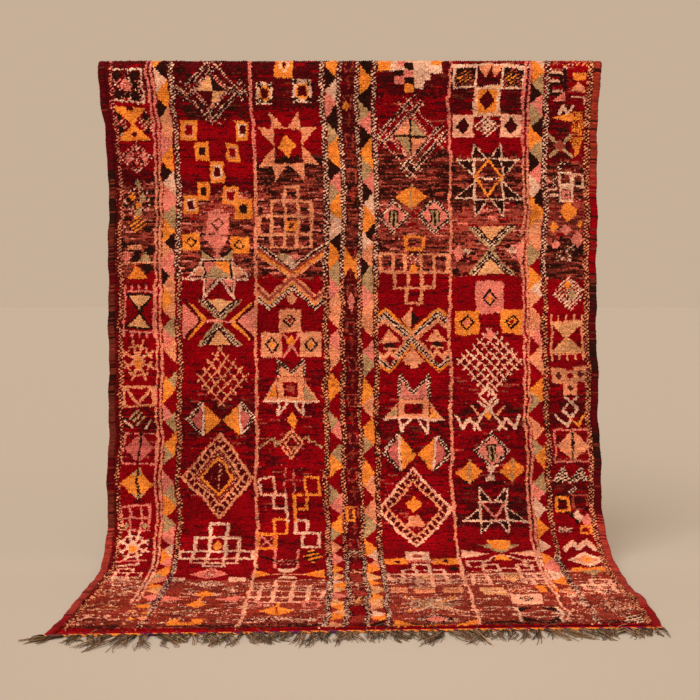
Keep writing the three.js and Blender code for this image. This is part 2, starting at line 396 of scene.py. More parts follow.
def rope(mask, light, dark):
    """A line of slim slanting dashes, as of a twisted cord."""
    dye(mask, dark)
    dye(mask & ROPE_DASHES, light)


# Motifs

def ring_square(left, right, top, bottom, wool, ring, eye, size=0.62):
    """A filled square with an outlined diamond in it."""
    col, row = (left + right) / 2, (top + bottom) / 2
    wide, tall = size * (right - left) / 2, size * (bottom - top) / 2
    dye(box(left, right, top, bottom), wool)
    dye(diamond(col, row, wide, tall), ring)
    dye(diamond(col, row, wide * 0.64, tall * 0.68), wool)
    dye(diamond(col, row, wide * 0.42, tall * 0.45), eye)


def eyed_square(left, right, top, bottom, wool, pale, eye):
    """A thick square ring, pale inside, round a dark middle."""
    wide, tall = (right - left) / 4, (bottom - top) / 4
    dye(box(left, right, top, bottom), wool)
    dye(box(left + wide * 0.75, right - wide * 0.75, top + tall * 0.7, bottom - tall * 0.7), pale)
    dye(box(left + wide * 1.1, right - wide * 1.1, top + tall * 1.1, bottom - tall * 1.1), eye)


def split_diamond(col, row, wide, tall, wool, seam, tip=None):
    """A diamond with a seam down its middle."""
    dye(diamond(col, row, wide, tall), wool)
    if tip:
        dye(diamond(col, row, wide, tall) & (abs(ROW - row) > 0.6 * tall), tip, 0.7)
    dye(line((col, row - tall), (col, row + tall), width=1.2), seam, 0.8)


def ringed_diamond(col, row, wide, tall, wool, heart):
    """A diamond in a dark and pale rope, with a small barred box at its heart."""
    dye(diamond(col, row, wide, tall), "ink")
    rope(rim(col, row, wide, tall, 1.6), "cream", "ink")
    dye(diamond(col, row, wide * 0.74, tall * 0.76), wool)
    dye(box(col - 2.4, col + 2.4, row - tall * 0.34, row + tall * 0.34), "ink")
    dye(box(col - 1.6, col + 1.6, row - tall * 0.26, row + tall * 0.5), heart)
    dye(line((col, row - tall * 0.16), (col, row + tall * 0.5), width=1.2), "ink")


def quartered(col, row, wide, tall, wools):
    """A diamond of four wools, from its upper left quarter on."""
    for k, wool in enumerate(wools):
        above, left = k < 2, k % 2 == 0
        dye(diamond(col, row, wide, tall) & ((ROW < row) == above) & ((COL < col) == left), wool)


def crossed_lines(col, row, wide, tall, heart, wools):
    """A quartered diamond in a lattice of dashes: twin ones that rise, and single ones that fall."""
    rising = (COL - col) / wide + (ROW - row) / tall
    falling = (COL - col) / wide - (ROW - row) / tall
    for at in (heart + 0.13, heart + 0.4):
        for place in (-at, at):
            dye((abs(falling - place) < 0.05) & (abs(rising) < 1.12) & twill(1.9, 1.0, 0.4), "blossom", 0.75)
    for at in (heart + 0.08, heart + 0.38):
        for place in (-at, at):
            reach = (falling > -1.02) & (falling < 1.14)
            dye((abs(rising - place) < 0.05) & reach, "ink", 0.7)
            for twin in (-0.06, 0.06):
                dashes = (abs(rising - place - twin) < 0.028) & (falling % 0.085 < 0.048)
                dye(dashes & reach, "cream", 0.85)
    quartered(col, row, wide * heart, tall * heart, wools)
    dye(rim(col, row, wide * heart + 1.6, tall * heart + 2, 1.2) & twill(1.9, 1.0, 0.6), "pink", 0.8)


def lattice(col, row, wide, tall, pitch, light, dark=None):
    """Crossing diagonals in a diamond, each with its ends standing out past the last ones that it crosses."""
    last = wide // pitch * pitch
    rising = COL - col + wide / tall * (ROW - row)
    falling = COL - col - wide / tall * (ROW - row)
    for one, other in ((rising, falling), (falling, rising)):
        inside = (abs(one) < last + 1) & (abs(other) < last + 0.62 * pitch)
        place = (one + pitch / 2) % pitch - pitch / 2
        if dark:
            dye(inside & (place > 0.6) & (place < 1.4), dark, 0.9)
        dye(inside & (abs(place) < 0.62), light, 0.94)


def block_diamond(col, row, wide, tall, outer, inner, heart=None):
    """Outlines with a row of small blocks between them, and a nest of others inside if it has a heart."""
    dye(rim(col, row, wide, tall, 1.6), outer, 0.95)
    along = abs(COL - col) / wide - abs(ROW - row) / tall
    blocks = diamond(col, row, wide * 0.88, tall * 0.88) & ~diamond(col, row, wide * 0.68, tall * 0.68)
    dye(blocks, "wine")
    dye(blocks & (along % 0.2 < 0.06), inner, 0.95)
    dye(rim(col, row, wide * 0.7, tall * 0.7, 1.2), inner, 0.9)
    if heart:
        rope(rim(col, row, wide * 0.58, tall * 0.58, 1.2), inner, "bark")
        dye(rim(col, row, wide * 0.47, tall * 0.47, 1.5), heart)
        dye(diamond(col, row, wide * 0.38, tall * 0.38), "wine")
        speckle(diamond(col, row, wide * 0.2, tall * 0.32), ["peach", "wine"])


def bow_pair(left, right, row, tall):
    """Two triangles on each side, base to base, that point out and in; pale ropes outline the outer ones."""
    span = right - left
    for base, way in ((left, 1), (right, -1)):
        tip, outer, inner, point = (base + way * span * share for share in (0, 0.2, 0.26, 0.48))
        dye(polygon((tip, row), (outer, row - tall), (outer, row + tall)), "ink")
        rope(line((outer, row - tall), (tip, row), (outer, row + tall), width=1.7), "cream", "ink")
        dye(polygon((tip + 2 * way, row), (outer, row - tall * 0.72), (outer, row + tall * 0.72)), "rose")
        dye(line((outer + way, row - tall), (outer + way, row + tall), width=1.2), "cream")
        dye(polygon((point, row + 1), (inner, row - tall * 0.85), (inner, row + tall)), "orange")


def edged(wool, outline, *corners):
    """A filled shape with a thin outline."""
    dye(polygon(*corners), wool, 0.9)
    dye(line(*corners, corners[0], width=0.8), outline, 0.85)


def star(left, right, top, bottom, wide, tall, wool):
    """Eight right-angled points round a square, two on each side."""
    col, row = (left + right) / 2, (top + bottom) / 2
    points = []
    for side in (left, right):
        points.append(((side, top), (side, top - tall), (col + (side - col) * 0.15, top)))
        points.append(((side, bottom), (side, bottom + tall), (col + (side - col) * 0.15, bottom)))
    for side in (top, bottom):
        points.append(((left, side), (left - wide, side), (left, row + (side - row) * 0.1)))
        points.append(((right, side), (right + wide, side), (right, row + (side - row) * 0.1)))
    for corners in points:
        dye(polygon(*corners), wool)


def hourglass(left, right, top, bottom, wool, outline):
    """Two triangles, tip to tip."""
    col, row = (left + right) / 2, (top + bottom) / 2
    for base in (top, bottom):
        dye(polygon((left, base), (right, base), (col, row)), wool)
        dye(line((left, base), (right, base), (col, row), (left, base), width=1.2), outline)


def barred_hourglass(col, half, top, row, bottom):
    """An hourglass with a line, a rope and a line side by side as its arms, and a triangle in each half."""
    for base in (top, bottom):
        for way in (-1, 1):
            for inset, width, wool in ((0, 1.5, "moss"), (3.7, 1.1, "ink"), (1.9, 2.2, None)):
                end = col + way * (half - inset), base
                arm = line(end, (col, row + (base - row) * inset / half), width=width)
                if wool:
                    dye(arm, wool, 0.95)
                else:
                    rope(arm, "cream", "ink")
        wide = half - 4.6
        dye(polygon((col - wide, base), (col + wide, base), (col, row + (base - row) * 4.6 / half)), "straw")


def comb_frame(left, right, top, bottom, wool):
    """A thin frame with teeth above and below."""
    dye(frame_of(left, right, top, bottom, 1.1), wool, 0.92)
    for col in np.linspace(left, right, 5):
        for tip, root in ((top - 3.6, top), (bottom, bottom + 3.6)):
            dye(line((col, tip), (col, root), width=1.1), wool)


def squares(wool, *boxes, width=1.6):
    """Square outlines, each given by left, right, top and bottom."""
    for left, right, top, bottom in boxes:
        dye(frame_of(left, right, top, bottom, width), wool, 0.96)


def square_row(wool, top, bottom, *uprights, width=1.6):
    """Squares in a row between uprights."""
    for left, right in zip(uprights, uprights[1:]):
        squares(wool, (left, right, top, bottom), width=width)


def zigzag(wools, *points, pitch=1.5):
    """Lines side by side along (col, row) points, each below the one before."""
    for k, wool in enumerate(wools):
        dye(line(*[(col, row + pitch * k) for col, row in points], width=1.7), wool)


def snowflake(col, row, wool, heart):
    """A small star: slim barbed arms round a diamond."""
    for way in (-1, 1):
        for c, r in ((3, -12), (8.2, -6), (8.2, 4), (3.4, 11)):
            tip = way * c, r
            barb = -2.2 * tip[1] / math.hypot(*tip), 2.2 * tip[0] / math.hypot(*tip)
            place = col + 0.68 * tip[0], row + 0.68 * tip[1]
            dye(line((col, row), (col + tip[0], row + tip[1]), width=1.4), wool, 0.95)
            ends = [(place[0] + end * barb[0], place[1] + end * barb[1]) for end in (-1, 1)]
            dye(line(*ends), wool, 0.95)
    dye(diamond(col, row, 3.8, 6), wool)
    dye(diamond(col, row + 1.4, 2.2, 4), heart)


def banded_arms(col, row, bands, *path):
    """Crossing arms along a path of steps from the middle and its mirror image.

    Each band has its shift down from the path, its width and its wool, or none for a dark and pale rope.
    """
    for way in (-1, 1):
        for shift, width, wool in bands:
            band = line(*[(col + way * c, row + r + shift) for c, r in path], width=width)
            if wool:
                dye(band, wool, 0.95)
            else:
                hatch(band, "cream", "ink", 2.3, 0.9 * way)


def banded_cross(col, row):
    """A large cross of banded arms with hooked ends, and small figures between them."""
    outer = (-3.3, 1.7, "orange"), (3.0, 2.4, "peach"), (-0.3, 3.0, None)
    inner = (3.3, 1.7, "orange"), (-3.0, 2.2, "peach"), (0.3, 3.0, None)
    banded_arms(col, row, outer, (17.6, -10.4), (13.4, -14), (0, 0))
    banded_arms(col, row, inner, (0, 0), (12.4, 16.6), (18, 11.4))
    for tree in (col - 11.6, col + 13):
        dye(polygon((tree, row - 5.4), (tree - 4.8, row + 2), (tree + 4.8, row + 2)), "peach")
        stem = (tree - 1.6, row + 2.8), (tree + 1.6, row + 2.8), (tree + 2.8, row + 5), (tree - 2.8, row + 5)
        dye(polygon(*stem), "ink")
        dye(line((tree - 3, row + 6), (tree + 3, row + 6), width=1.2), "peach")
        dye(polygon((tree, row + 6.6), (tree - 4.4, row + 13), (tree + 4.4, row + 13)), "peach")
        dye(diamond(tree, row + 12.6, 2.2, 3), "crimson")
    dye(diamond(col - 0.4, row - 11.6, 5.2, 7) & (COL < col - 0.2), "peach")
    dye(diamond(col - 0.4, row - 11, 5, 6) & (COL > col), "ink")
    dye(polygon((col, row + 6), (col - 5.6, row + 13.6), (col + 5.6, row + 13.6)), "peach")
    dye(box(col - 4, col + 4, row + 13, row + 15) | box(col - 2, col + 2, row + 14.6, row + 17.6), "peach")


def crowned_figure(left, right, top, bottom, horn, wool, hem_wool, fills):
    """A square ring with two horns above, a triangle at each side and two legs below."""
    col = (left + right) / 2
    wide = (right - left) * 0.4
    for side, way in ((left, 1), (right, -1)):
        horns = (side, top - 1), (side, top - horn), (col, top - horn * 0.28), (col, top - 1)
        dye(polygon(*horns), wool)
        rope(line(*horns[:3], width=1.7), "cream", "ink")
        leg = (side, bottom), (side + way * 0.6, bottom + 8), (side + way * wide, bottom)
        dye(line(*leg, width=1.2), "cream")
    for tip, base, fill in ((left - 7.5, left - 1, fills[0]), (right + 7.5, right + 1, fills[1])):
        dye(polygon((base, top + 2.5), (base, bottom), (tip, bottom)), hem_wool)
        dye(polygon((base, top + 5), (base, bottom - 2), (base + 0.62 * (tip - base), bottom - 2)), fill)
    dye(frame_of(left + 1.2, right - 1.2, top + 1.2, bottom - 1.2, 3.0), hem_wool)
    dye(line((left - 7.5, bottom), (right + 7.5, bottom), width=1.3), "cream")


# Stripes and lines between the panels

# Wedge stripes: first and last column, and the row at which each wool starts
WEDGES = [
    (24, 30,
     "-56 peach -46 orange -36 ink -26 cream -14 pink -4 orange 3 ink 9 cream 16 orange 26 ink"
     " 31 peach 45 pink 54 orange 64 ink 69 cream 77 pink 88 moss 97 orange 105 ink 109 peach 115 pink"
     " 127 ink 129 peach 137 orange 144 peach 151 crimson 154 moss 161 pink 168 peach 175 crimson"
     " 186 moss 190 orange 199 crimson 206 pink 211 moss 216 crimson 222 orange 230 moss 235 crimson"
     " 246 pink 253 moss 260 orange 269 crimson 272 moss 279 pink 288 crimson 291 cream 296 orange"
     " 302 pink 309 crimson 312 orange 323 moss 327 pink 334 peach 340 crimson 345 orange 353 straw"
     " 363 clay 368 pink 378 clay 385 moss 392 clay"),
    (108, 113.4,
     "-56 orange -46 cream -34 ink -26 pink -14 peach -6 ink 0 orange 8 ink 15 cream 22 pink 31 ink"
     " 40 moss 48 orange 61 ink 69 pink 76 moss 82 orange 92 cream 104 ink 110 orange 121 moss 130 pink"
     " 138 peach 155 crimson 161 pink 170 peach 180 crimson 187 orange 199 crimson 210 moss 215 pink"
     " 222 crimson 230 moss 236 orange 244 crimson 254 moss 260 pink 267 crimson 272 orange 280 moss"
     " 284 crimson 288 peach 294 crimson 298 pink 306 crimson 310 orange 317 crimson 321 straw 331 clay"
     " 335 cream 340 orange 350 straw 359 clay 364 pink 374 clay 378 straw 386 orange 395 clay"
     " 399 straw 405 orange 415 clay 421 peach"),
    (124.6, 130.4,
     "-56 ink -46 orange -34 peach -20 pink -8 ink 7 orange 18 ink 28 moss 34 pink 42 ink 50 orange"
     " 61 moss 69 pink 76 ink 82 cream 89 orange 100 ink 104 cream 110 peach 119 ink 125 moss 135 pink"
     " 143 peach 160 crimson 168 pink 175 moss 184 crimson 190 orange 200 peach 208 crimson 214 orange"
     " 225 moss 230 crimson 240 orange 249 peach 256 crimson 262 peach 272 moss 282 crimson 288 orange"
     " 296 cream 301 crimson 305 peach 310 orange 318 crimson 322 straw 331 clay 335 orange 343 clay"
     " 347 straw 362 clay 366 orange 375 straw 389 peach 395 clay 400 cream 408 orange 416 clay 420 ink"),
    (209.6, 215.6,
     "-56 pink -44 orange -32 moss -20 ink -10 cream 3 orange 11 moss 17 ink 23 pink 29 moss 37 ink"
     " 42 orange 50 moss 58 ink 64 pink 72 cream 80 ink 84 orange 95 peach 111 moss 118 crimson"
     " 124 orange 132 cream 137 peach 143 crimson 148 peach 160 pink 166 crimson 171 peach 182 crimson"
     " 190 orange 198 moss 204 crimson 214 peach 222 crimson 227 moss 232 orange 239 crimson 247 moss"
     " 253 pink 259 crimson 262 cream 270 crimson 274 orange 281 crimson 288 cream 294 crimson"
     " 300 orange 305 pink 318 cream 330 orange 340 clay 350 peach 362 clay"),
]
ROPES = [(30.7, 33), (105.1, 107.6), (113.6, 115.8), (122.3, 124.4), (130.9, 133.1), (216.1, 218.6)]
WEDGE_SLANT = 1.25

# Rows of the fringed end that are woven flat: the column, and how many there
SHORN = [
    (0, 3.0),
    (60, 1.6),
    (100, 0.5),
    (240, 0.0),
]


def stretches(text):
    """Pairs of a row and a name from a line of text."""
    words = text.split()
    return [(int(row), name) for row, name in zip(words[::2], words[1::2])]


def rail(col, end, width, *shares):
    """An upright line, pink above and mixed with paler wools further down."""
    for start, wool, share in zip((FIRST, 60, 290), ("pink", "peach", "blossom"), shares):
        dye(line((col, start), (col, end), width=width), wool, share)


def weave_stripes():
    """The upright bands between the panels: wedges, ropes and thin rails."""
    for left, right, text in WEDGES:
        inside = (COL > left) & (COL < right)
        for k, (row, wool) in enumerate(stretches(text)):
            lean = WEDGE_SLANT if k % 2 else -WEDGE_SLANT
            dye(inside & (ROW > row + lean * (COL - (left + right) / 2)), wool)
    for left, right in ROPES:
        rope(box(left, right, FIRST, 128), "cream", "ink")
        rope(box(left, right, 128, 300), "peach", "ink")
        rope(box(left, right, 300, LAST), "cream", "ink")
        dye(box(left, right, FIRST, LAST) & ~ROPE_DASHES, "wine", 0.5)
    dye(box(29.4, 32.6, 322, 402) & twill(5.0, 0.8), "plum", 0.5)
    dye(box(-1, 1.4, FIRST, LAST), "wine", 0.7)
    rope(box(1.3, 3.4, FIRST, LAST), "pink", "wine")
    rope(box(1.3, 3.4, 72, LAST), "peach", "wine")
    rope(box(237.2, 241, FIRST, LAST), "peach", "wine")
    for col, end in ((20.7, 384), (22.9, 380), (206.6, 416), (208.8, 350)):
        rail(col, end, 1.15, 0.95, 0.5, 0.7)
    speckle(box(22, 33.4, 386, LAST), ["clay", "peach", "clay", "blossom", "bark"])
    dye(diamond(27, 391, 3.6, 4) | diamond(29.4, 404, 2.4, 3) | diamond(25, 416, 2, 3), "orange", 0.9)
    dye(diamond(24, 402, 3, 5) | diamond(30, 414, 3, 4), "peach", 0.8)
    speckle(box(209.4, 219, 352, LAST), ["clay", "blossom", "clay", "rust", "cream"])
    dye(diamond(213, 366, 3.6, 4) | diamond(216, 384, 2.6, 4), "cream", 0.7)
    for col in (70.9, 169.2):
        rail(col, LAST, 1.5, 0.9, 0.55, 0.7)


def weave_centre():
    """Small figures down the dark column between the two halves."""
    for row in range(-44, FRONT_ROWS - 20, 22):
        dye(frame_of(117.4, 121.2, row, row + 7, 1.0), "rust", 0.7)
        dye(line((119.3, row + 10), (119.3, row + 17), width=1.2), "clay", 0.8)
        dye(line((117.4, row + 13), (121, row + 13), width=1.1), "clay", 0.8)
    dye(diamond(118.5, 28, 2, 3), "orange")
    dye(polygon((116.2, 111), (116.2, 127), (121, 119)), "orange")
    dye(polygon((122.4, 116), (122.4, 128), (119.6, 122)), "orange")
    dye(diamond(119, 142, 2, 6), "pink")
    dye(frame_of(115.6, 119, 265, 273, 1.3), "orange")
    blocks = [(303, 313, "crimson"), (322, 335, "brick"), (356, 367, "brick"), (391, 406, "crimson"),
              (409, 421, "brick")]
    for top, bottom, wool in blocks:
        dye(box(116.6, 121.8, top, bottom), wool, 0.9)
    flecks = [(294, 300, ["moss", "cream"]), (314, 321, ["peach", "wine"]),
              (337, 355, ["cream", "peach", "wine"]), (368, 389, ["moss", "cream", "straw"])]
    for top, bottom, wools in flecks:
        speckle(box(115.8, 122.4, top, bottom), wools)
    dye(line((119.6, 374), (119.6, 384), width=1.2), "orange")


# Panels, from left to right; each motif stands at its own columns and rows

def weave_left_border():
    """Small figures down the left border, one below another."""
    dye(frame_of(2.6, 17.6, 6.6, 24.8, 1.2), "cream", 0.8)
    speckle(box(4, 16.6, 8.5, 23.5), ["ink", "pink", "cream"])
    for col, row in ((5.4, 10), (14, 10), (5.4, 21.4), (14, 21.4), (13.5, 15)):
        dye(diamond(col, row, 3, 3), "ink")
    dye(diamond(9.6, 15.4, 3.4, 4.4), "pink", 0.8)
    for col in (4, 17.2):
        speckle(diamond(col, 37, 4, 10), ["cream", "moss"])
        dye(diamond(col, 33, 2, 3) | diamond(col, 41.6, 2, 3), "ink")
    dye(polygon((2, 28), (17.6, 28), (10.2, 38)) | polygon((3.6, 47.4), (18.6, 47.4), (10.2, 37)), "orange")
    dye(box(9, 11.6, 27, 30) | diamond(10.8, 44, 1.5, 2.4), "wine")
    speckle(diamond(11, 57.5, 8.5, 10), ["pink", "ink", "cream", "pink"])
    dye(diamond(7, 58, 2, 3.4) | diamond(15.2, 58, 2, 3.4), "pink")
    speckle(diamond(10.5, 83, 9.5, 11), ["cream", "ink", "blossom", "ink"])
    eyes = [(11, 73, "moss"), (8, 81, "orange"), (13, 81.6, "moss"), (11, 86, "orange"), (11, 91, "moss")]
    for col, row, wool in eyes:
        dye(diamond(col, row, 2, 2.8), wool)
    hatch(diamond(11, 97, 5, 6), "orange", "bark", 3, 1.0)
    for col, row in ((3.4, 108.6), (17.6, 112), (11, 116.6), (16.6, 122.6)):
        dye(diamond(col, row, 3.4, 3.6), "ink")
    dye(box(6, 14, 109, 111.8) | line((3, 119.4), (19, 119.4), width=1.1), "peach", 0.85)
    dye(polygon((15.6, 113), (12.6, 119), (18.6, 119)), "moss")
    dye(diamond(6, 116, 2.6, 3), "pink")
    dye(polygon((11, 120), (6.4, 128.6), (15.6, 128.6)), "orange")
    comb_frame(4.6, 19.6, 136.8, 159.4, "pink")
    hourglass(5.4, 18.6, 138.6, 157.4, "straw", "ink")
    snowflake(11, 177.4, "peach", "orange")
    dye(frame_of(3.8, 19.4, 193, 204, 1.4) | line((5, 194), (11.4, 203), (18, 194), width=1.5), "peach")
    hatch(diamond(11, 211, 5, 5.4), "moss", None, 3.4, 1.0)
    dye(line((4.6, 212.6), (8, 217), width=1.2) | line((18, 212.6), (14.6, 217), width=1.2), "cream")
    dye(frame_of(3.6, 20, 220.6, 239, 1.0), "pink", 0.85)
    split_diamond(11.6, 229.6, 7.4, 9, "rose", "ink")
    split_diamond(12, 250.4, 8, 9.6, "orange", "ink", "moss")
    square_row("pink", 263.4, 271, 3.6, 7.6, 13, 17, width=1.1)
    square_row("pink", 271, 279, 3.6, 7.6, 13, 17, width=1.1)
    dye(diamond(5.4, 276, 1.6, 2.4) | diamond(15, 276, 1.6, 2.4), "moss")
    snowflake(10, 291.4, "cream", "orange")
    dye(line((0, 305.4), (8, 303), (17, 303.4), width=1.5), "pink")
    dye(polygon((2, 309.4), (13.6, 305), (15, 307.6), (4, 310.4)), "cream", 0.8)
    squares("blossom", (5, 12, 313, 319), (0, 5, 319, 327), (5, 11, 319, 327), (11, 17, 319, 327), width=1.4)
    squares("blossom", (5, 11, 327, 334), width=1.4)
    speckle(box(2, 19.4, 335, 342), ["straw", "blossom", "clay"])
    speckle(diamond(10, 362, 8, 14), ["cream", "moss", "clay", "clay"])
    dye(line((3, 391), (9, 387), (15, 392), width=1.6) | line((6, 399), (17, 396), width=1.6), "straw", 0.7)
    dye(diamond(6.4, 412, 1.4, 5) | diamond(14.4, 412, 1.4, 5), "blossom")
    snowflake(11, -20, "peach", "pink")
    split_diamond(11, -43, 7, 9, "orange", "ink")


def weave_panel_a():
    """Crossed lines, stepped squares, an hourglass, a lattice, bows and a block diamond."""
    blots = [(36, 8, 3), (66, 22, 4), (61, 29, 3), (46, 27, 3), (67, 34, 3.4), (52, 33, 3), (39, 30, 3.4)]
    for col, row, wide in blots:
        dye(diamond(col, row, wide, 2.6), "ink", 0.7)
    crossed_lines(51.6, 19, 18.6, 21, 0.42, ("straw", "ink", "wine", "straw"))
    steps = [(34, 42.4, 36, 48), (62, 68.4, 37, 48), (41, 48, 49, 59.4), (56.6, 63, 49, 59.4),
             (48, 55, 60, 72), (41, 47.4, 72, 83), (54, 62, 74, 85), (34, 41.4, 80, 91), (60, 69, 81, 93)]
    insides = [("peach", "crimson"), ("cream", "wine"), ("orange", "ink")]
    for k, where in enumerate(steps):
        eyed_square(*where, "orange", *insides[k % len(insides)])
    ring_square(46, 57, 90, 103, "pink", "bark", "pink")
    ring_square(34, 43, 102, 112, "orange", "ink", "orange", 0.7)
    ring_square(58, 67.4, 103.6, 114, "orange", "ink", "peach", 0.7)
    dye(polygon((44.6, 104), (57, 104), (51.6, 114.4)), "pink")
    dye(polygon((44, 111.6), (44, 117), (50.4, 117)) | polygon((58.4, 111), (58.4, 117), (52.4, 117)), "moss")
    dye(line((44, 111.6), (50, 116.6), width=1.2) | line((58.4, 111), (53, 116.6), width=1.2), "ink")
    for side, way in ((44, -1), (59, 1)):
        dye(polygon((side, 119.4), (side, 126.6), (side + way * 5.4, 126.6)), "peach")
        dye(line((side, 118.4), (side + way * 7.4, 127.4), width=1.2), "cream", 0.9)
    dye(box(45, 57.6, 118, 127.6), "pink")
    dye(polygon((50, 118), (57.6, 118), (57.6, 127.6), (55, 124)), "orange")
    dye(polygon((45, 127.6), (57.6, 127.6), (50, 120)), "moss")
    dye(frame_of(44.6, 58, 117.6, 128, 1.1), "ink", 0.9)
    dye(frame_of(43.6, 59, 116.6, 129, 1.0) | line((34, 128.8), (66, 128.8), width=1.2), "cream", 0.92)
    for tip, base in ((44.4, 50.6), (59.6, 53.4)):
        dye(polygon((tip, 129.4), (base, 129.4), (tip, 139)), "pink")
        dye(line((tip + 0.1 * (base - tip), 129.4), (tip, 137), (base, 129.4), width=1.1), "ink", 0.85)
        dye(line((tip, 129.4), (tip, 140), (base + 0.12 * (base - tip), 129.4), width=1.1), "cream", 0.92)
    barred_hourglass(52.6, 10.6, 141.6, 153.6, 168.4)
    for base, way in ((35, 1), (70.2, -1)):
        dye(polygon((base + 2 * way, 142.6), (base + 2 * way, 164.6), (base + 12 * way, 153.6)), "orange")
        dye(polygon((base, 141.6), (base, 165.6), (base + 9 * way, 153.6)), "wine")
        dye(polygon((base - way, 143.6), (base - way, 163.6), (base + 7.4 * way, 153.6)), "pink")
    dye(line((46, 154), (60, 154), width=1.1), "pink")
    lattice(53, 187, 13.4, 17.8, 5.7, "peach")
    bow_pair(36, 70, 211.6, 9)
    block_diamond(52, 246, 18.6, 26.6, "peach", "peach", "orange")
    squares("cream", (47, 56, 275, 284), (46, 55.4, 306, 310.4), width=1.8)
    square_row("cream", 284, 294.4, 40.4, 47.4, 55.6, 62, width=1.8)
    square_row("cream", 294.4, 301.4, 33.6, 40.4, 47.4, 55.6, 62, 69.4, width=1.6)
    square_row("blossom", 301.4, 306, 39.6, 47, 55.6, 62, width=1.4)
    dye(diamond(51.6, 290, 2.6, 4), "orange")
    dye(diamond(49.6, 321.6, 9.4, 9), "pink")
    speckle(diamond(49.6, 321.6, 9.4, 9) & (abs(COL - 49.6) < 2.4), ["cream", "ink", "crimson"])
    ring_square(31, 38.6, 328, 337, "cream", "rust", "cream", 0.5)
    ring_square(59, 67.4, 328, 338, "cream", "rust", "cream", 0.5)
    hatch(diamond(50.6, 343.6, 9, 9), "cream", None, 2.6, 0.5)
    dye(polygon((42, 366), (51, 360), (60, 366), (51, 369)), "cream", 0.8)
    dye(diamond(51, 364.6, 5, 6.4) | diamond(50, 387.4, 5, 6) | line((50.6, 368), (50.2, 384)), "orange")
    dye(polygon((33.6, 370), (33.6, 383), (42.6, 376.6)) | polygon((67, 370), (67, 383), (57, 376.6)), "pink")
    speckle(diamond(50, 403, 16, 7), ["cream", "bark", "peach"])
    dye(box(42.4, 46.6, 415.6, 426) | box(51, 55.4, 414, 424.6) | box(46, 51.6, 421, 426), "orange")
    star(44, 59, -38, -22, 8, 12, "peach")
    dye(diamond(51.5, -30, 4, 6), "orange")


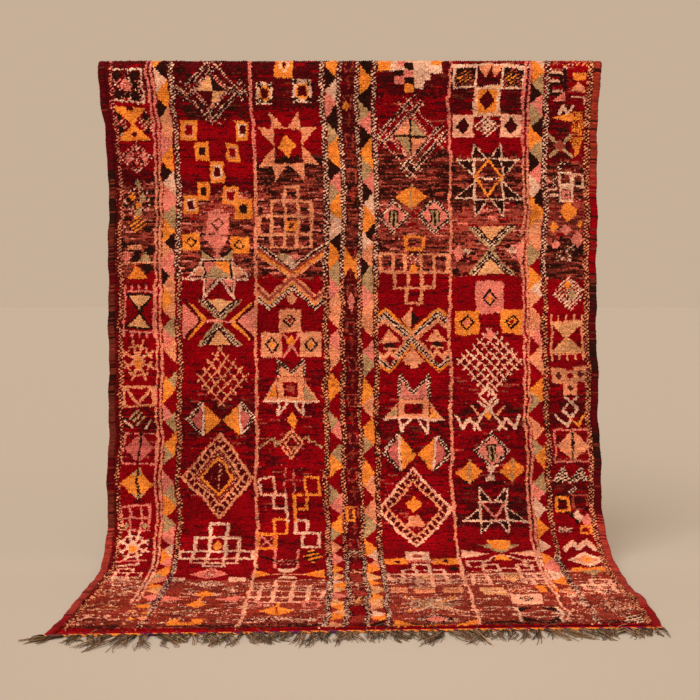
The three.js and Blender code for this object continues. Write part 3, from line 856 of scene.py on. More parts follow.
def weave_panel_b():
    """A pinwheel, stacked squares, banded arms, a crowned figure and rows of squares."""
    ring_square(83, 92, -3, 11.6, "orange", "cream", "wine", 0.66)
    for left, right, top, bottom in ((73.6, 81.6, 14, 27), (92, 101.4, 12, 25.6)):
        eyed_square(left, right, top, bottom, "cream", "orange", "wine")
        for col in (left + 1.6, right - 1.6):
            dye(diamond(col, top + 1.8, 2, 2.2) | diamond(col, bottom - 1.8, 2, 2.2), "ink", 0.85)
    for where in (((80, 31.4), (86, 40.6), (80, 40.6)), ((94.4, 31), (88, 40.6), (94.4, 40.6)),
                  ((73.6, 41), (81, 41), (81, 50.4)), ((102.4, 40), (95, 40), (95, 50.4)),
                  ((72.8, 62.4), (80.4, 62.4), (80.4, 51.6)), ((102.4, 61.4), (95, 61.4), (95, 51.6)),
                  ((80, 62), (86.4, 62), (80.8, 71.6)), ((88.4, 62), (95, 62), (95, 71))):
        dye(polygon(*where), "peach")
    dye(line((80, 40.6), (95, 40.6), width=1.2) | line((80, 61.8), (95, 61.8), width=1.2), "peach")
    dye(box(83, 93, 57, 60.6), "ink", 0.8)
    dye(diamond(87.4, 51, 4.4, 6.8), "orange")
    squares("peach", (85.6, 92, 75, 83), width=1.5)
    square_row("peach", 83, 92, 79, 85.6, 92, 98.6)
    square_row("peach", 92, 102.6, 72.6, 79, 85.6, 92, 98.6)
    square_row("peach", 102.6, 110.4, 79, 85.6, 92, 98.6)
    dye(frame_of(87, 90.6, 95, 100, 1.4), "orange")
    upper = (-3.2, 2.4, None), (-0.8, 2.0, "rust"), (1.2, 1.8, "orange"), (3.0, 1.2, "peach")
    banded_arms(89.2, 126, upper, (16.4, -13.6), (0, 0))
    lower = [(-3.6, 1.4, "peach"), (-1.6, 2.0, "rust"), (0.4, 1.4, "peach"), (1.6, 1.2, "orange"),
             (3.6, 2.4, None)]
    banded_arms(89.2, 130, lower, (0, 0), (11.8, 12.6), (17.6, 6))
    dye(polygon((83, 114), (91, 116), (90.6, 123), (86, 120)), "cream", 0.8)
    dye(diamond(91.6, 116.4, 3, 2.2), "pink")
    dye(diamond(85, 116.4, 3, 2.6), "moss", 0.8)
    dye(box(96, 105, 124.6, 126.6), "ink", 0.8)
    dye(diamond(78.4, 130, 2.4, 5) | diamond(101.4, 131, 2.8, 5), "crimson")
    dye(diamond(89, 140.4, 2.8, 4.4), "peach")
    ring_square(83, 94, 146.6, 160.4, "peach", "ink", "crimson")
    ring_square(73.8, 84.2, 160.4, 175, "peach", "ink", "orange", 0.7)
    ring_square(93, 103.8, 160.4, 175, "peach", "ink", "orange", 0.7)
    dye(line((85, 161.6), (92.6, 174.6), width=1.2) | line((92.6, 161.6), (85, 174.6), width=1.2), "pink")
    dye(diamond(88.6, 165.4, 2.6, 3.4), "orange")
    crowned_figure(82, 95, 187, 201, 10, "peach", "peach", ("orange", "moss"))
    dye(box(86.6, 90.6, 192, 196), "rust")
    dye(diamond(89.4, 213, 2.8, 6.2), "orange")
    dye(line((72, 229), (77, 224.6), (79.6, 222.8), (80.2, 228.6), (82.4, 225), width=1.2), "moss", 0.8)
    dye(line((94, 224.4), (96.4, 222.8), (97.4, 225.4), (100.4, 226), (104, 229), width=1.2), "moss", 0.8)
    dye(rim(88.4, 227, 6.6, 9.4, 1.2) | rim(88.4, 227, 4.2, 6, 1.2), "peach", 0.85)
    squares("blossom", (73, 80, 247, 257), (79, 85.6, 257, 265), width=1.3)
    squares("cream", (90, 95.8, 272, 281), (94, 102.4, 281, 291), width=1.6)
    squares("orange", (96.4, 103, 247, 257), (90, 96.4, 257, 265), (79, 85.4, 272, 281), width=1.4)
    squares("orange", (71.6, 80, 281, 292), width=2.2)
    for col, wool in ((85.4, "cream"), (90, "orange")):
        dye(line((col, 264), (col, 273), width=1.5), wool)
        dye(line((col, 242), (col, 256), width=1.0), "pink", 0.6)
    dye(line((73, 283), (79, 290.6), width=1.2) | line((79, 283), (73, 290.6), width=1.2), "pink")
    dye(line((80, 293), (80, 312), width=1.3) | line((91, 293), (91, 312), width=1.3), "pink")
    rope(line((80, 303), (91, 303), width=1.8) | line((80, 306.6), (91, 306.6), width=1.4), "pink", "ink")
    hatch(diamond(98.6, 299, 5, 7), "orange", "ink", 4, 0.4)
    dye(line((73, 299), (79, 302), width=1.6), "ink")
    dye(polygon((82, 313), (90.6, 313), (88.4, 318), (84, 318)), "cream")
    dye(polygon((84, 325), (88.6, 325), (91, 330), (82, 330)), "cream")
    dye(polygon((70.4, 314.4), (79.4, 321.4), (70.4, 328.4)), "orange")
    dye(polygon((103.6, 314.4), (93, 321.4), (103.6, 328.4)), "orange")
    dye(line((78, 321.4), (94, 321.4), width=1.3), "peach")
    square_row("blossom", 336, 347, 82, 90, width=1.9)
    square_row("blossom", 347, 359, 75.6, 82, 90, 97, width=1.9)
    square_row("blossom", 359, 371, 70.6, 75.6, 82, 90, 97, 103.4, width=1.9)
    square_row("blossom", 371, 382, 75.6, 82, 90, 97, width=1.9)
    squares("pink", (71, 77, 380, 391), (96, 102, 380, 391), width=1.4)
    split_diamond(84.6, 399.4, 7.6, 9.6, "orange", "clay")
    dye(line((84.6, 384), (84.6, 391), width=1.6), "orange")
    speckle(box(74, 102, 411, 420), ["cream", "wine"])
    block_diamond(88.5, -29, 15, 24, "peach", "peach", "orange")


def weave_panel_c():
    """Steps, crossed lines, ringed diamonds, a banded cross, a crowned figure and bows."""
    steps = [("orange", 133.6, 140, -4, 7), ("cream", 140, 162, -4, 8), ("pink", 143, 147, 1, 5),
             ("ink", 147, 151.4, 3, 6.6), ("orange", 160, 165.4, -4, 4), ("cream", 160, 165.4, 4, 8),
             ("ink", 142, 147, 7, 10.6), ("pink", 147, 151.4, 7, 11), ("cream", 151.4, 160, 7, 12),
             ("pink", 142, 147, 10.6, 15), ("ink", 147, 152, 11, 15), ("cream", 152, 156.4, 12, 17),
             ("orange", 147, 151.6, 15, 20)]
    for wool, *where in steps:
        dye(box(*where), wool)
    crossed_lines(149.6, 46, 19.4, 25, 0.43, ("peach", "moss", "moss", "peach"))
    dye(line((141.6, 46), (157.6, 46), width=1.5) | line((149.6, 36), (149.6, 57), width=1.1), "ink")
    split_diamond(149.6, 81, 8, 7.6, "orange", "moss")
    ringed_diamond(140.6, 92.4, 8.4, 10.4, "pink", "moss")
    ringed_diamond(161, 92, 9, 10.6, "pink", "moss")
    squares("orange", (147, 155, 104, 111), width=1.6)
    square_row("peach", 114.4, 125, 134.4, 140.6, 146.6, width=1.7)
    square_row("peach", 114.4, 125, 155, 161, 168, width=1.7)
    square_row("peach", 125, 134, 141, 147.8, 154.4, 161, width=1.7)
    squares("peach", (147.4, 154.8, 134, 143), width=1.7)
    speckle(box(148, 154, 112, 120), ["pink", "ink", "cream"])
    dye(diamond(151, 123, 2.4, 3), "orange")
    banded_cross(150.2, 164)
    crowned_figure(143.6, 157.4, 200, 212, 14, "pink", "peach", ("moss", "orange"))
    bow_pair(135, 168.4, 232.4, 10)
    block_diamond(150, 266, 19, 25.6, "blossom", "peach")
    dye(diamond(149.6, 263, 3.6, 5), "orange")
    dye(polygon((148, 270), (151.4, 270), (154, 276), (145.6, 276)), "peach")
    dye(box(144, 155.6, 295, 303), "cream")
    dye(box(147.6, 152, 298, 301), "rust")
    for left, right in ((133.4, 144.6), (156.6, 169)):
        dye(box(left, right, 301.6, 308), "orange")
        dye(box(left + 5, left + 7.4, 303.6, 306.4), "wine")
    dye(box(144.6, 156.6, 303, 306), "pink", 0.7)
    squares("cream", (146.4, 154, 308.4, 316), (141, 147, 315, 322.4), (154, 160.4, 315, 322.4), width=1.6)
    square_row("blossom", 322, 331, 134, 140.6, 147.4, 154, 160.4, 168.6, width=2.0)
    square_row("blossom", 331, 338, 140, 147.4, 154, 161, width=2.0)
    squares("blossom", (147.4, 154, 338, 346), width=1.8)
    dye(diamond(150.8, 328, 3, 6), "straw", 0.8)
    dye(diamond(165.6, 314, 3, 4), "ink")
    for left, right in ((133.6, 141.6), (144.6, 154), (157.6, 166.6)):
        ring_square(left, right, 348.6, 361, "peach", "rust", "peach", 0.6)
    for way in (-1, 1):
        for shift, wool in ((-2.4, "cream"), (0, "orange"), (2.4, "cream")):
            dye(line((140 + shift, 385 + 16 * way), (163 + shift, 385 - 16 * way), width=1.4), wool, 0.85)
    speckle(diamond(151.6, 385, 14, 15), ["cream", "moss"])
    dye(diamond(152, 414.4, 9.6, 9), "ink")
    rope(rim(152, 414.4, 9.6, 9, 2.4), "cream", "ink")
    dye(diamond(152, 414.4, 6, 5.6), "pink")
    dye(polygon((135, 415), (135, 428), (145, 428)), "orange")
    dye(polygon((168.4, 415), (168.4, 428), (158, 428)), "orange")
    dye(box(135, 168.4, 424.6, 428), "orange")
    crossed_lines(150, -31, 17, 21, 0.4, ("peach", "cream", "cream", "orange"))


def weave_panel_d():
    """Hatched squares, two stars, an hourglass, a lattice and rows of squares."""
    for left, right in ((171, 181.6), (195.4, 206)):
        dye(box(left, right, 6, 17), "ink")
        dye(box(left + 1, right - 1, 6, 17) & twill(2.3, 0.9, 0.42), "rust", 0.9)
        dye(diamond((left + right) / 2, 11.6, 4, 4.4) & twill(2.3, 0.9, 0.42), "orange", 0.8)
        for corner, way in ((left, 1), (right, -1)):
            dye(polygon((corner, 5), (corner + 5 * way, 5), (corner, 11)), "ink")
        dye(frame_of(left, right, 5.4, 17, 1.2), "cream")
        dye(box(left, right, 32.6, 46), "blossom")
        dye(diamond((left + right) / 2, 39.2, 3.6, 5), "ink")
        dye(diamond((left + right) / 2, 39.2, 2.4, 3.2), "wine")
    dye(line((170, 4.6), (207, 4.6), width=1.2), "cream")
    dye(polygon((183.4, 5), (189, 5), (186.4, 11.4)) | polygon((189, 5), (195, 5), (192, 11.4)), "peach")
    dye(box(182, 195, 16.6, 33), "orange")
    dye(frame_of(182.6, 194.4, 17, 32.6, 2.2), "cream", 0.8)
    dye(diamond(188.5, 24.4, 4.4, 6), "wine")
    hatch(diamond(188.6, 39.4, 6.6, 7), "cream", None, 3.2, 1.0)
    hatch(diamond(188.6, 39.4, 4, 4.6), "cream", None, 3.2, -1.0)
    for where in (((181, 59), (187.4, 59), (181.6, 50)), ((189.6, 59), (196, 59), (195.4, 50)),
                  ((172.6, 59.6), (181.6, 59.6), (181.6, 69)), ((204.4, 59.6), (196, 59.6), (196, 69)),
                  ((172.6, 82), (181.6, 82), (181.6, 72.4)), ((205.4, 82), (196, 82), (196, 72.4)),
                  ((181.6, 82.6), (188, 82.6), (182, 92.4)), ((190, 82.6), (196.4, 82.6), (196, 92.4))):
        edged("ink", "cream", *where)
    for row, left, right in ((59.2, 172.6, 204.6), (70.2, 182, 196), (82.2, 172.6, 206)):
        dye(line((left, row), (right, row), width=0.9), "cream", 0.9)
    dye(line((182, 59), (182, 82), width=0.9) | line((196, 59), (196, 82), width=0.9), "cream", 0.9)
    dye(line((188.6, 59.6), (195.6, 69.6), (188.6, 80.4), (182.4, 70), (188.6, 59.6), width=1.3), "orange")
    barred_hourglass(190.4, 11.4, 98.6, 112, 125.6)
    dye(diamond(173.6, 113.6, 2.6, 6) | diamond(205.4, 112.6, 2.6, 5.6), "pink")
    dye(diamond(178, 112.6, 2.6, 3) | diamond(201.4, 112.6, 2.6, 3), "cream", 0.7)
    ring_square(182, 196.6, 130, 149.4, "pink", "ink", "orange", 0.56)
    ring_square(172, 184, 147.6, 161.4, "orange", "ink", "pink", 0.66)
    ring_square(195, 206.6, 147.6, 161.4, "orange", "ink", "crimson", 0.66)
    lattice(189, 178, 16.8, 20.4, 5.0, "blossom", "wine")
    dye(diamond(189, 162.4, 2.8, 3.6), "pink")
    dye(rim(188, 198, 5, 6.4, 1.5), "cream")
    for way in (-1, 1):
        dye(line((188, 204), (188 + 8 * way, 217.6), width=1.4), "cream")
        dye(line((188 + 5 * way, 201), (188 - 3 * way, 209), width=1.3), "cream")
        dye(line((188 + 5 * way, 209), (188 + 8.4 * way, 204), width=1.2), "peach")
        teeth = (16.4, 209.6), (13, 217), (9.6, 211), (5, 218)
        zigzag(["cream"], *[(188 + c * way, r) for c, r in teeth])
    dye(diamond(188, 209.4, 2, 2.8), "orange")
    ringed_diamond(189, 231, 9, 12, "pink", "moss")
    split_diamond(178, 243, 6.4, 6.6, "orange", "moss")
    split_diamond(199, 242.4, 6.4, 7.2, "orange", "moss")
    hourglass(186.6, 190.4, 240.4, 247.6, "cream", "cream")
    for side, way in ((182.4, -1), (196, 1)):
        edged("ink", "cream", (side, 261.4), (side, 252), (side - 6 * way, 261.4))
        edged("ink", "cream", (side, 273), (side, 282), (side - 6 * way, 273))
        edged("ink", "cream", (side, 273), (side + 9 * way, 273), (side, 265))
    dye(line((182, 261.4), (196.4, 261.4), width=1.2) | line((174, 273.2), (206, 273.2), width=1.2), "cream")
    dye(line((182.4, 261), (182.4, 273), width=1.1) | line((196, 261), (196, 273), width=1.1), "cream")
    dye(line((183.4, 262.4), (189.6, 271.6), (195.4, 262.4), width=1.3), "pink")
    dye(polygon((180.6, 290), (199.6, 290), (190.2, 297)), "moss")
    dye(polygon((184.6, 287), (195.6, 287), (193.6, 293.6), (187, 293.6)), "orange")
    dye(polygon((171, 294.6), (171, 301.6), (183.4, 297.6)), "blossom")
    dye(polygon((208.6, 294), (208.6, 301), (195.6, 297.6)), "blossom")
    dye(line((180, 307), (186, 300.4), (190, 298.6), (194.6, 300.4), (202, 306), width=1.3), "cream")
    dye(polygon((186.4, 303.6), (188, 299.4), (192.4, 299.4), (194, 303.6)), "orange")
    squares("blossom", (172.6, 180, 305, 311.6), (200, 207, 304, 311), (179, 186.6, 309, 316), width=1.5)
    squares("blossom", (196, 203, 309, 316), (187, 196, 314, 322), width=1.6)
    square_row("blossom", 321.6, 331, 173, 179.6, 186.6, 196, 202.6, 208.6, width=1.9)
    squares("blossom", (173, 181, 331, 341), (200.4, 208, 330, 339), width=1.9)
    dye(polygon((187, 322), (196, 322), (191.4, 338)), "straw", 0.8)
    speckle(box(187, 196, 344, 361), ["peach", "cream", "clay"])
    dye(box(200.6, 204, 343.6, 358) | box(207.6, 211.6, 343.6, 358), "orange")
    dye(polygon((204, 345), (208, 345), (206, 351)), "orange")
    ring_square(174.4, 185, 349, 366, "straw", "cream", "rust", 0.6)
    ring_square(186, 199.6, 362, 384, "blossom", "ink", "rust", 0.55)
    for way in (-1, 1):
        dye(polygon((195 + 2 * way, 391), (195 + 8 * way, 391), (195 + 8 * way, 399)), "ink")
        dye(polygon((195 + 2 * way, 416), (195 + 8 * way, 416), (195 + 8 * way, 408)), "ink")
        dye(line((195 + 8.6 * way, 390), (195 + 8.6 * way, 417), width=1.3), "cream")
        dye(line((195, 399), (195 + 12 * way, 404), (195, 409), width=1.4), "cream", 0.9)
    behind = [(172, 184, -50, "pink"), (194, 206, -50, "pink"), (183, 195, -34, "orange")]
    for left, right, top, wool in behind:
        ring_square(left, right, top, top + 15, wool, "ink", "peach")


def weave_right_border():
    """Small figures down the right border, one below another."""
    dye(box(230, 238, -10, 60), "crimson", 0.7)
    speckle(box(219.6, 237, -8, 4), ["pink", "orange", "crimson"])
    zigzag(["cream", "ink"], (219, 8), (224, 8), (224, 13), (219, 13), (219, 19), (226, 19), (226, 5))
    dye(box(230.4, 237, 8, 12.6), "orange", 0.85)
    dye(polygon((229.6, 18.6), (233, 13.4), (237, 18.6)), "peach")
    dye(polygon((221, 24.4), (227, 24.4), (226, 19.4)), "pink")
    dye(line((230, 22.4), (237, 22.4), (237, 26), width=1.2), "cream")
    zigzag(["cream"], (224, 32), (226, 27.6), (228, 32), (231, 27.6))
    dye(polygon((220.6, 34.4), (231, 32), (231, 36.4)), "orange")
    dye(box(231, 236.6, 31, 45), "orange", 0.6)
    dye(line((219.6, 45), (231, 57), width=1.8) | line((231, 44), (220, 56.6), width=1.8), "moss")
    dye(diamond(225, 50.4, 3.4, 4), "rust")
    dye(polygon((230.4, 46), (237, 46), (233, 57)), "orange", 0.85)
    rope(line((222, 76), (222, 70), (225, 70), (225, 61), (230, 61), width=1.4), "cream", "ink")
    squares("cream", (224.6, 231, 67, 74.6), (225, 231, 76, 83), (232, 236.4, 68, 74.6), width=1.3)
    squares("pink", (226.6, 229.4, 78, 81.4), width=1.2)
    dye(line((217, 77.6), (223, 76.8), width=1.2) | line((217, 80.6), (223, 79.8), width=1.2), "cream")
    dye(diamond(218.6, 72.4, 2.6, 2.2), "pink")
    dye(diamond(228.4, 89.4, 4.8, 6.6) | diamond(222, 98, 2.8, 3.4) | diamond(235, 96.4, 1.8, 2.4), "orange")
    dye(diamond(228, 99.4, 3, 3) | diamond(234, 105.4, 3.4, 5.4) | diamond(223, 108, 2.4, 3), "pink")
    speckle(box(224, 233, 109, 119), ["cream", "ink", "bark"])
    hatch(diamond(230, 138, 9, 10.6), "cream", None, 2.5, 1.0)
    speckle(diamond(229.4, 137, 6, 7), ["cream", "ink", "moss"])
    dye(diamond(229, 133, 2, 2.8), "orange")
    dye(diamond(231.4, 139, 2.2, 2.6), "moss")
    comb_frame(220.6, 236.6, 154, 172.6, "peach")
    hourglass(221.4, 236, 155, 171.6, "straw", "straw")
    blocks = [(219.8, 227, 181, 190.4), (231, 238, 180, 189.4), (226, 233, 189.4, 198)]
    for left, right, top, bottom in blocks:
        dye(box(left, right, top, bottom), "peach")
        dye(diamond((left + right) / 2, (top + bottom) / 2, 1.9, 2.6), "bark")
    dye(box(226, 232, 183, 190), "peach")
    dye(diamond(229.2, 186, 1.8, 2.4), "crimson")
    dye(rim(229.8, 207, 4.8, 6, 1.4) | line((227, 199.4), (229.8, 202), (233, 199.4), width=1.3), "cream")
    dye(line((222, 210), (227.4, 216), (230, 212), width=1.4), "cream")
    dye(line((230, 212), (233, 216), (237.4, 209.4), width=1.4), "orange")
    dye(frame_of(220.4, 237.4, 218.4, 237.4, 1.1), "pink")
    split_diamond(229.4, 228, 8.4, 9.4, "peach", "ink")
    for col in (224.4, 233):
        hatch(polygon((col, 240.6), (col - 5, 250), (col + 5, 250)), "cream", "ink", 2.2, 0.7)
    speckle(diamond(229, 255, 3, 3), ["cream"])
    squares("orange", (220.6, 226.6, 259.4, 267), width=1.5)
    dye(frame_of(229, 236, 258, 266, 1.0), "rust", 0.8)
    dye(diamond(231, 270.4, 3, 4), "cream")
    dye(diamond(235.4, 273.4, 3.4, 5), "pink")
    squares("orange", (231.6, 236.4, 276.6, 281.4), width=1.5)
    dye(diamond(229.4, 274, 1.4, 2) | diamond(236, 266, 1.4, 2) | diamond(228, 270, 1.2, 2), "ink")
    dye(box(220.4, 226, 277.4, 281), "cream", 0.7)
    zigzag(["blossom", "cream"], (221, 294), (226, 287.6), (228, 293), (233, 286.6), (236, 293), pitch=2.2)
    dye(diamond(230.6, 305, 9, 8), "cream")
    dye(diamond(230.6, 305, 6, 5), "peach")
    dye(diamond(230.6, 305, 2.4, 2.6), "orange")
    dye(box(221.6, 238.4, 314, 320.4), "orange")
    dye(polygon((224, 318), (236, 318), (230, 325)), "moss")
    square_row("blossom", 332, 342, 227, 236, width=1.9)
    square_row("blossom", 342, 352, 221.6, 228.6, 234.6, 239, width=1.9)
    square_row("blossom", 352, 361, 227, 235, width=1.9)
    speckle(diamond(229, 388, 9, 22), ["cream", "peach", "bark"])
    hatch(polygon((231, 405), (238, 405), (238, 420), (229, 420)), "cream", "ink", 4, 0.8)
    snowflake(229, -20, "cream", "orange")
    split_diamond(229, -43, 7, 9, "pink", "ink")


RUN_LENGTH = 5
STRAY_SHARE = 0.16


def lay_grounds():
    """The ground of every panel: each row is worked in short runs of the wools in its mix."""
    ragged = rows + wander(9, 1.6) + random.normal(0, 1.0, rows.shape)
    offset = random.integers(0, 40, (rows.shape[0], 1))
    runs = random.random((rows.shape[0], COLUMNS))
    pick = np.take_along_axis(runs, (cols + offset) // RUN_LENGTH, axis=1)
    stray = random.random(ROW.shape) < STRAY_SHARE
    pick = np.where(stray, random.random(ROW.shape), pick[..., None])
    for (left, text), (right, _) in zip(PANEL_GROUNDS, PANEL_GROUNDS[1:]):
        inside = (cols >= left) & (cols < right)
        for start, name in stretches(text):
            low = 0.0
            for wool, share in GROUNDS[name].items():
                below = inside & (ragged >= start - 2)
                dye(below[..., None] & (pick >= low) & (pick <= low + share), wool)
                low += share


def weave():
    """Charts the whole rug."""
    lay_grounds()
    weave_left_border()
    weave_panel_a()
    weave_panel_b()
    weave_panel_c()
    weave_panel_d()
    weave_right_border()
    weave_stripes()
    weave_centre()
    shorn = rows + 1 > FRONT_ROWS - from_table(SHORN, cols, 1)
    dye(np.repeat(shorn[..., None], len(FACETS), axis=-1), "crimson", 0.9)
    return chart


# Meshes

def linear(colour):
    """Display colours as linear ones."""
    colour = np.clip(colour, 0, 1)
    return np.where(colour <= 0.04045, colour / 12.92, ((colour + 0.055) / 1.055) ** 2.4)


def new_piece(name, points, polygons, uv, colours, material, smooth=False):
    """A mesh object that rides the rug.

    Polygons are arrays of corners. The map goes by corner, and the colours go by face.
    """
    corners = np.concatenate([p.ravel() for p in polygons])
    sizes = np.concatenate([np.full(len(p), p.shape[1]) for p in polygons])
    mesh = bpy.data.meshes.new(name)
    mesh.vertices.add(len(points))
    mesh.vertices.foreach_set("co", points.ravel())
    mesh.loops.add(len(corners))
    mesh.loops.foreach_set("vertex_index", corners)
    mesh.polygons.add(len(sizes))
    mesh.polygons.foreach_set("loop_start", np.concatenate([[0], np.cumsum(sizes)[:-1]]))
    mesh.polygons.foreach_set("use_smooth", np.full(len(sizes), smooth))
    layer = mesh.uv_layers.new(name="OFBake")
    layer.uv.foreach_set("vector", uv.ravel())
    dyed = mesh.attributes.new("wool", "FLOAT_COLOR", "FACE")
    rgba = np.concatenate([linear(colours), np.ones((len(colours), 1))], axis=1)
    dyed.data.foreach_set("color", rgba.ravel())
    mesh.update(calc_edges=True)
    mesh.validate()
    mesh.materials.append(material)
    piece = bpy.data.objects.new(name, mesh)
    bpy.context.collection.objects.link(piece)
    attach(piece, "root")
    return piece


def grid_quads(rows, columns, start=0):
    """Corners of the quads of a grid of points, seen from the pile side."""
    r, c = np.mgrid[0:rows - 1, 0:columns - 1]
    top_left = start + r * columns + c
    quads = np.stack([top_left, top_left + columns, top_left + columns + 1, top_left + 1], axis=-1)
    return quads.reshape(-1, 4)


def border(rows, columns):
    """Point numbers once round a grid, in the order in which its quads run."""
    top = np.arange(columns)
    bottom = (rows - 1) * columns + top
    left = np.arange(rows) * columns
    right = left + columns - 1
    return np.concatenate([left[:-1], bottom[:-1], right[:0:-1], top[:0:-1]])


def walls(rim, depth):
    """Quads that close a grid's edge down to a second layer of points, depth numbers further on."""
    after = np.roll(rim, -1)
    return np.stack([after, rim, rim + depth, after + depth], axis=1)


NOT_AHEAD = np.array([0.12, 0.3, 1.0])  # a direction that no tube follows


def tubes(paths, radii, sides):
    """Closed tubes along paths: points, side quads and end caps, with each face's path."""
    count, steps = paths.shape[:2]
    ahead = np.gradient(paths, axis=1)
    ahead /= np.linalg.norm(ahead, axis=-1, keepdims=True)
    up = np.cross(ahead, NOT_AHEAD)
    up /= np.linalg.norm(up, axis=-1, keepdims=True)
    out = np.cross(ahead, up)
    angle = np.arange(sides) * 2 * math.pi / sides
    ring = np.cos(angle)[:, None] * up[:, :, None] + np.sin(angle)[:, None] * out[:, :, None]
    points = paths[:, :, None] + ring * radii[..., None, None]
    path, step, side = np.mgrid[0:count, 0:steps - 1, 0:sides]
    after = (side + 1) % sides
    here = (path * steps + step) * sides
    quads = np.stack([here + side, here + after, here + sides + after, here + sides + side], axis=-1)
    first = np.arange(count)[:, None] * steps * sides + np.arange(sides)[::-1]
    last = first[:, ::-1] + (steps - 1) * sides
    return points.reshape(-1, 3), quads.reshape(-1, 4), np.concatenate([first, last])


MAP_MARGIN = 0.02
CAP_MAP = 0.3  # radius of an end cap, of the width of its tube's strip


def with_margin(uv):
    """A map drawn in a little from the edges of its square."""
    return uv * (1 - 2 * MAP_MARGIN) + MAP_MARGIN


def tube_uv(count, steps, sides):
    """A map for tubes: one narrow strip each, with the end caps at the strip's ends."""
    path, step, side = np.mgrid[0:count, 0:steps - 1, 0:sides]
    low = step / (steps - 1)
    high = (step + 1) / (steps - 1)
    near = (path + side / sides) / count
    far = (path + (side + 1) / sides) / count
    corners = np.stack([near, low, far, low, far, high, near, high], axis=-1).reshape(-1, 2)
    angle = np.arange(sides) * 2 * math.pi / sides
    disc = np.stack([np.cos(angle), np.sin(angle)], axis=-1) * CAP_MAP / count
    caps = []
    for end in (0.0, 1.0):
        middle = np.stack([(np.arange(count) + 0.5) / count, np.full(count, end)], axis=-1)
        caps.append((middle[:, None] + disc).reshape(-1, 2))
    return with_margin(np.concatenate([corners, *caps]))


def wool_material(name, fibre, relief, tint):
    """Dyed wool: the face's own colour, mottled and roughened at the scale of its fibres."""
    material = bpy.data.materials.new(name)
    material.use_nodes = True
    nodes, links = material.node_tree.nodes, material.node_tree.links
    shader = nodes["Principled BSDF"]
    shader.inputs["Sheen Weight"].default_value = 0.03
    shader.inputs["Sheen Roughness"].default_value = 0.45
    shader.inputs["Sheen Tint"].default_value = tint
    shader.inputs["Specular IOR Level"].default_value = 0.03
    dyed = nodes.new("ShaderNodeAttribute")
    dyed.attribute_name = "wool"
    place = nodes.new("ShaderNodeTexCoord")
    fuzz = nodes.new("ShaderNodeTexNoise")
    fuzz.inputs["Scale"].default_value = 1 / fibre
    fuzz.inputs["Detail"].default_value = 4
    links.new(place.outputs["Object"], fuzz.inputs["Vector"])
    shade = nodes.new("ShaderNodeMapRange")
    shade.inputs["From Min"].default_value = 0.3
    shade.inputs["From Max"].default_value = 0.7
    shade.inputs["To Min"].default_value = 0.8
    shade.inputs["To Max"].default_value = 1.2
    links.new(fuzz.outputs["Fac"], shade.inputs["Value"])
    mottle = nodes.new("ShaderNodeMix")
    mottle.data_type = "RGBA"
    mottle.blend_type = "MULTIPLY"
    mottle.inputs["Factor"].default_value = 1.0
    links.new(dyed.outputs["Color"], mottle.inputs["A"])
    links.new(shade.outputs["Result"], mottle.inputs["B"])
    links.new(mottle.outputs["Result"], shader.inputs["Base Color"])
    rough = nodes.new("ShaderNodeMapRange")
    rough.inputs["To Min"].default_value = 0.82
    rough.inputs["To Max"].default_value = 1.0
    links.new(fuzz.outputs["Fac"], rough.inputs["Value"])
    links.new(rough.outputs["Result"], shader.inputs["Roughness"])
    bump = nodes.new("ShaderNodeBump")
    bump.inputs["Strength"].default_value = 0.5
    bump.inputs["Distance"].default_value = relief
    links.new(fuzz.outputs["Fac"], bump.inputs["Height"])
    links.new(bump.outputs["Normal"], shader.inputs["Normal"])
    return material


# The pile

PILE_START = HEM_LENGTH - BACK_LENGTH
PILE_BANDS = 4
BACK_STRIDE = 4  # knots to one quad behind

# How unevenly the knots sit, in knots, and how unevenly they are shorn
CORNER_JITTER = 0.24
TIP_JITTER = 0.22
TIP_LEAN = 0.95  # in knots, from the top of its row down to a tuft's tip
VALLEY_JITTER = 0.0008
HEIGHT_JITTER = 0.0011
HEIGHT_WAVE = 0.0012

# Parts of a band's map: the tufts, the loops behind as shares of those, the strips round the edge
FRONT_MAP = np.array([0.94, 0.72])
FRONT_MAP_START = np.array([0.03, 0.02])
BACK_MAP = np.array([1, 0.3])
BACK_MAP_START = np.array([0, 0.75])
SIDE_MAP = (0.015, 0.985)
END_MAP = (0.01, 0.748)


# Unevenness of the dyes, from bath to bath, from row to row and from knot to knot
BATH_STREAK = 0.05
ROW_STREAK = 0.035
KNOT_SHADE = 0.07
KNOT_TINT = 0.008


def knot_colours(chart):
    """The dyed colour of each knot: its wool, with streaks from bath to bath and from knot to knot."""
    dyes = np.array([WOOLS[name] for name in WOOL_NAMES])
    colour = dyes[chart]
    bath = 1 + wander(40, BATH_STREAK) + wander(7, BATH_STREAK)
    abrash = bath + random.normal(0, ROW_STREAK, (ALL_ROWS, 1))
    knot = random.normal(1, KNOT_SHADE, chart.shape)
    tone = random.normal(0, KNOT_TINT, colour.shape)
    return np.clip(colour * (abrash[..., None] * knot)[..., None] + tone, 0.01, 0.98)


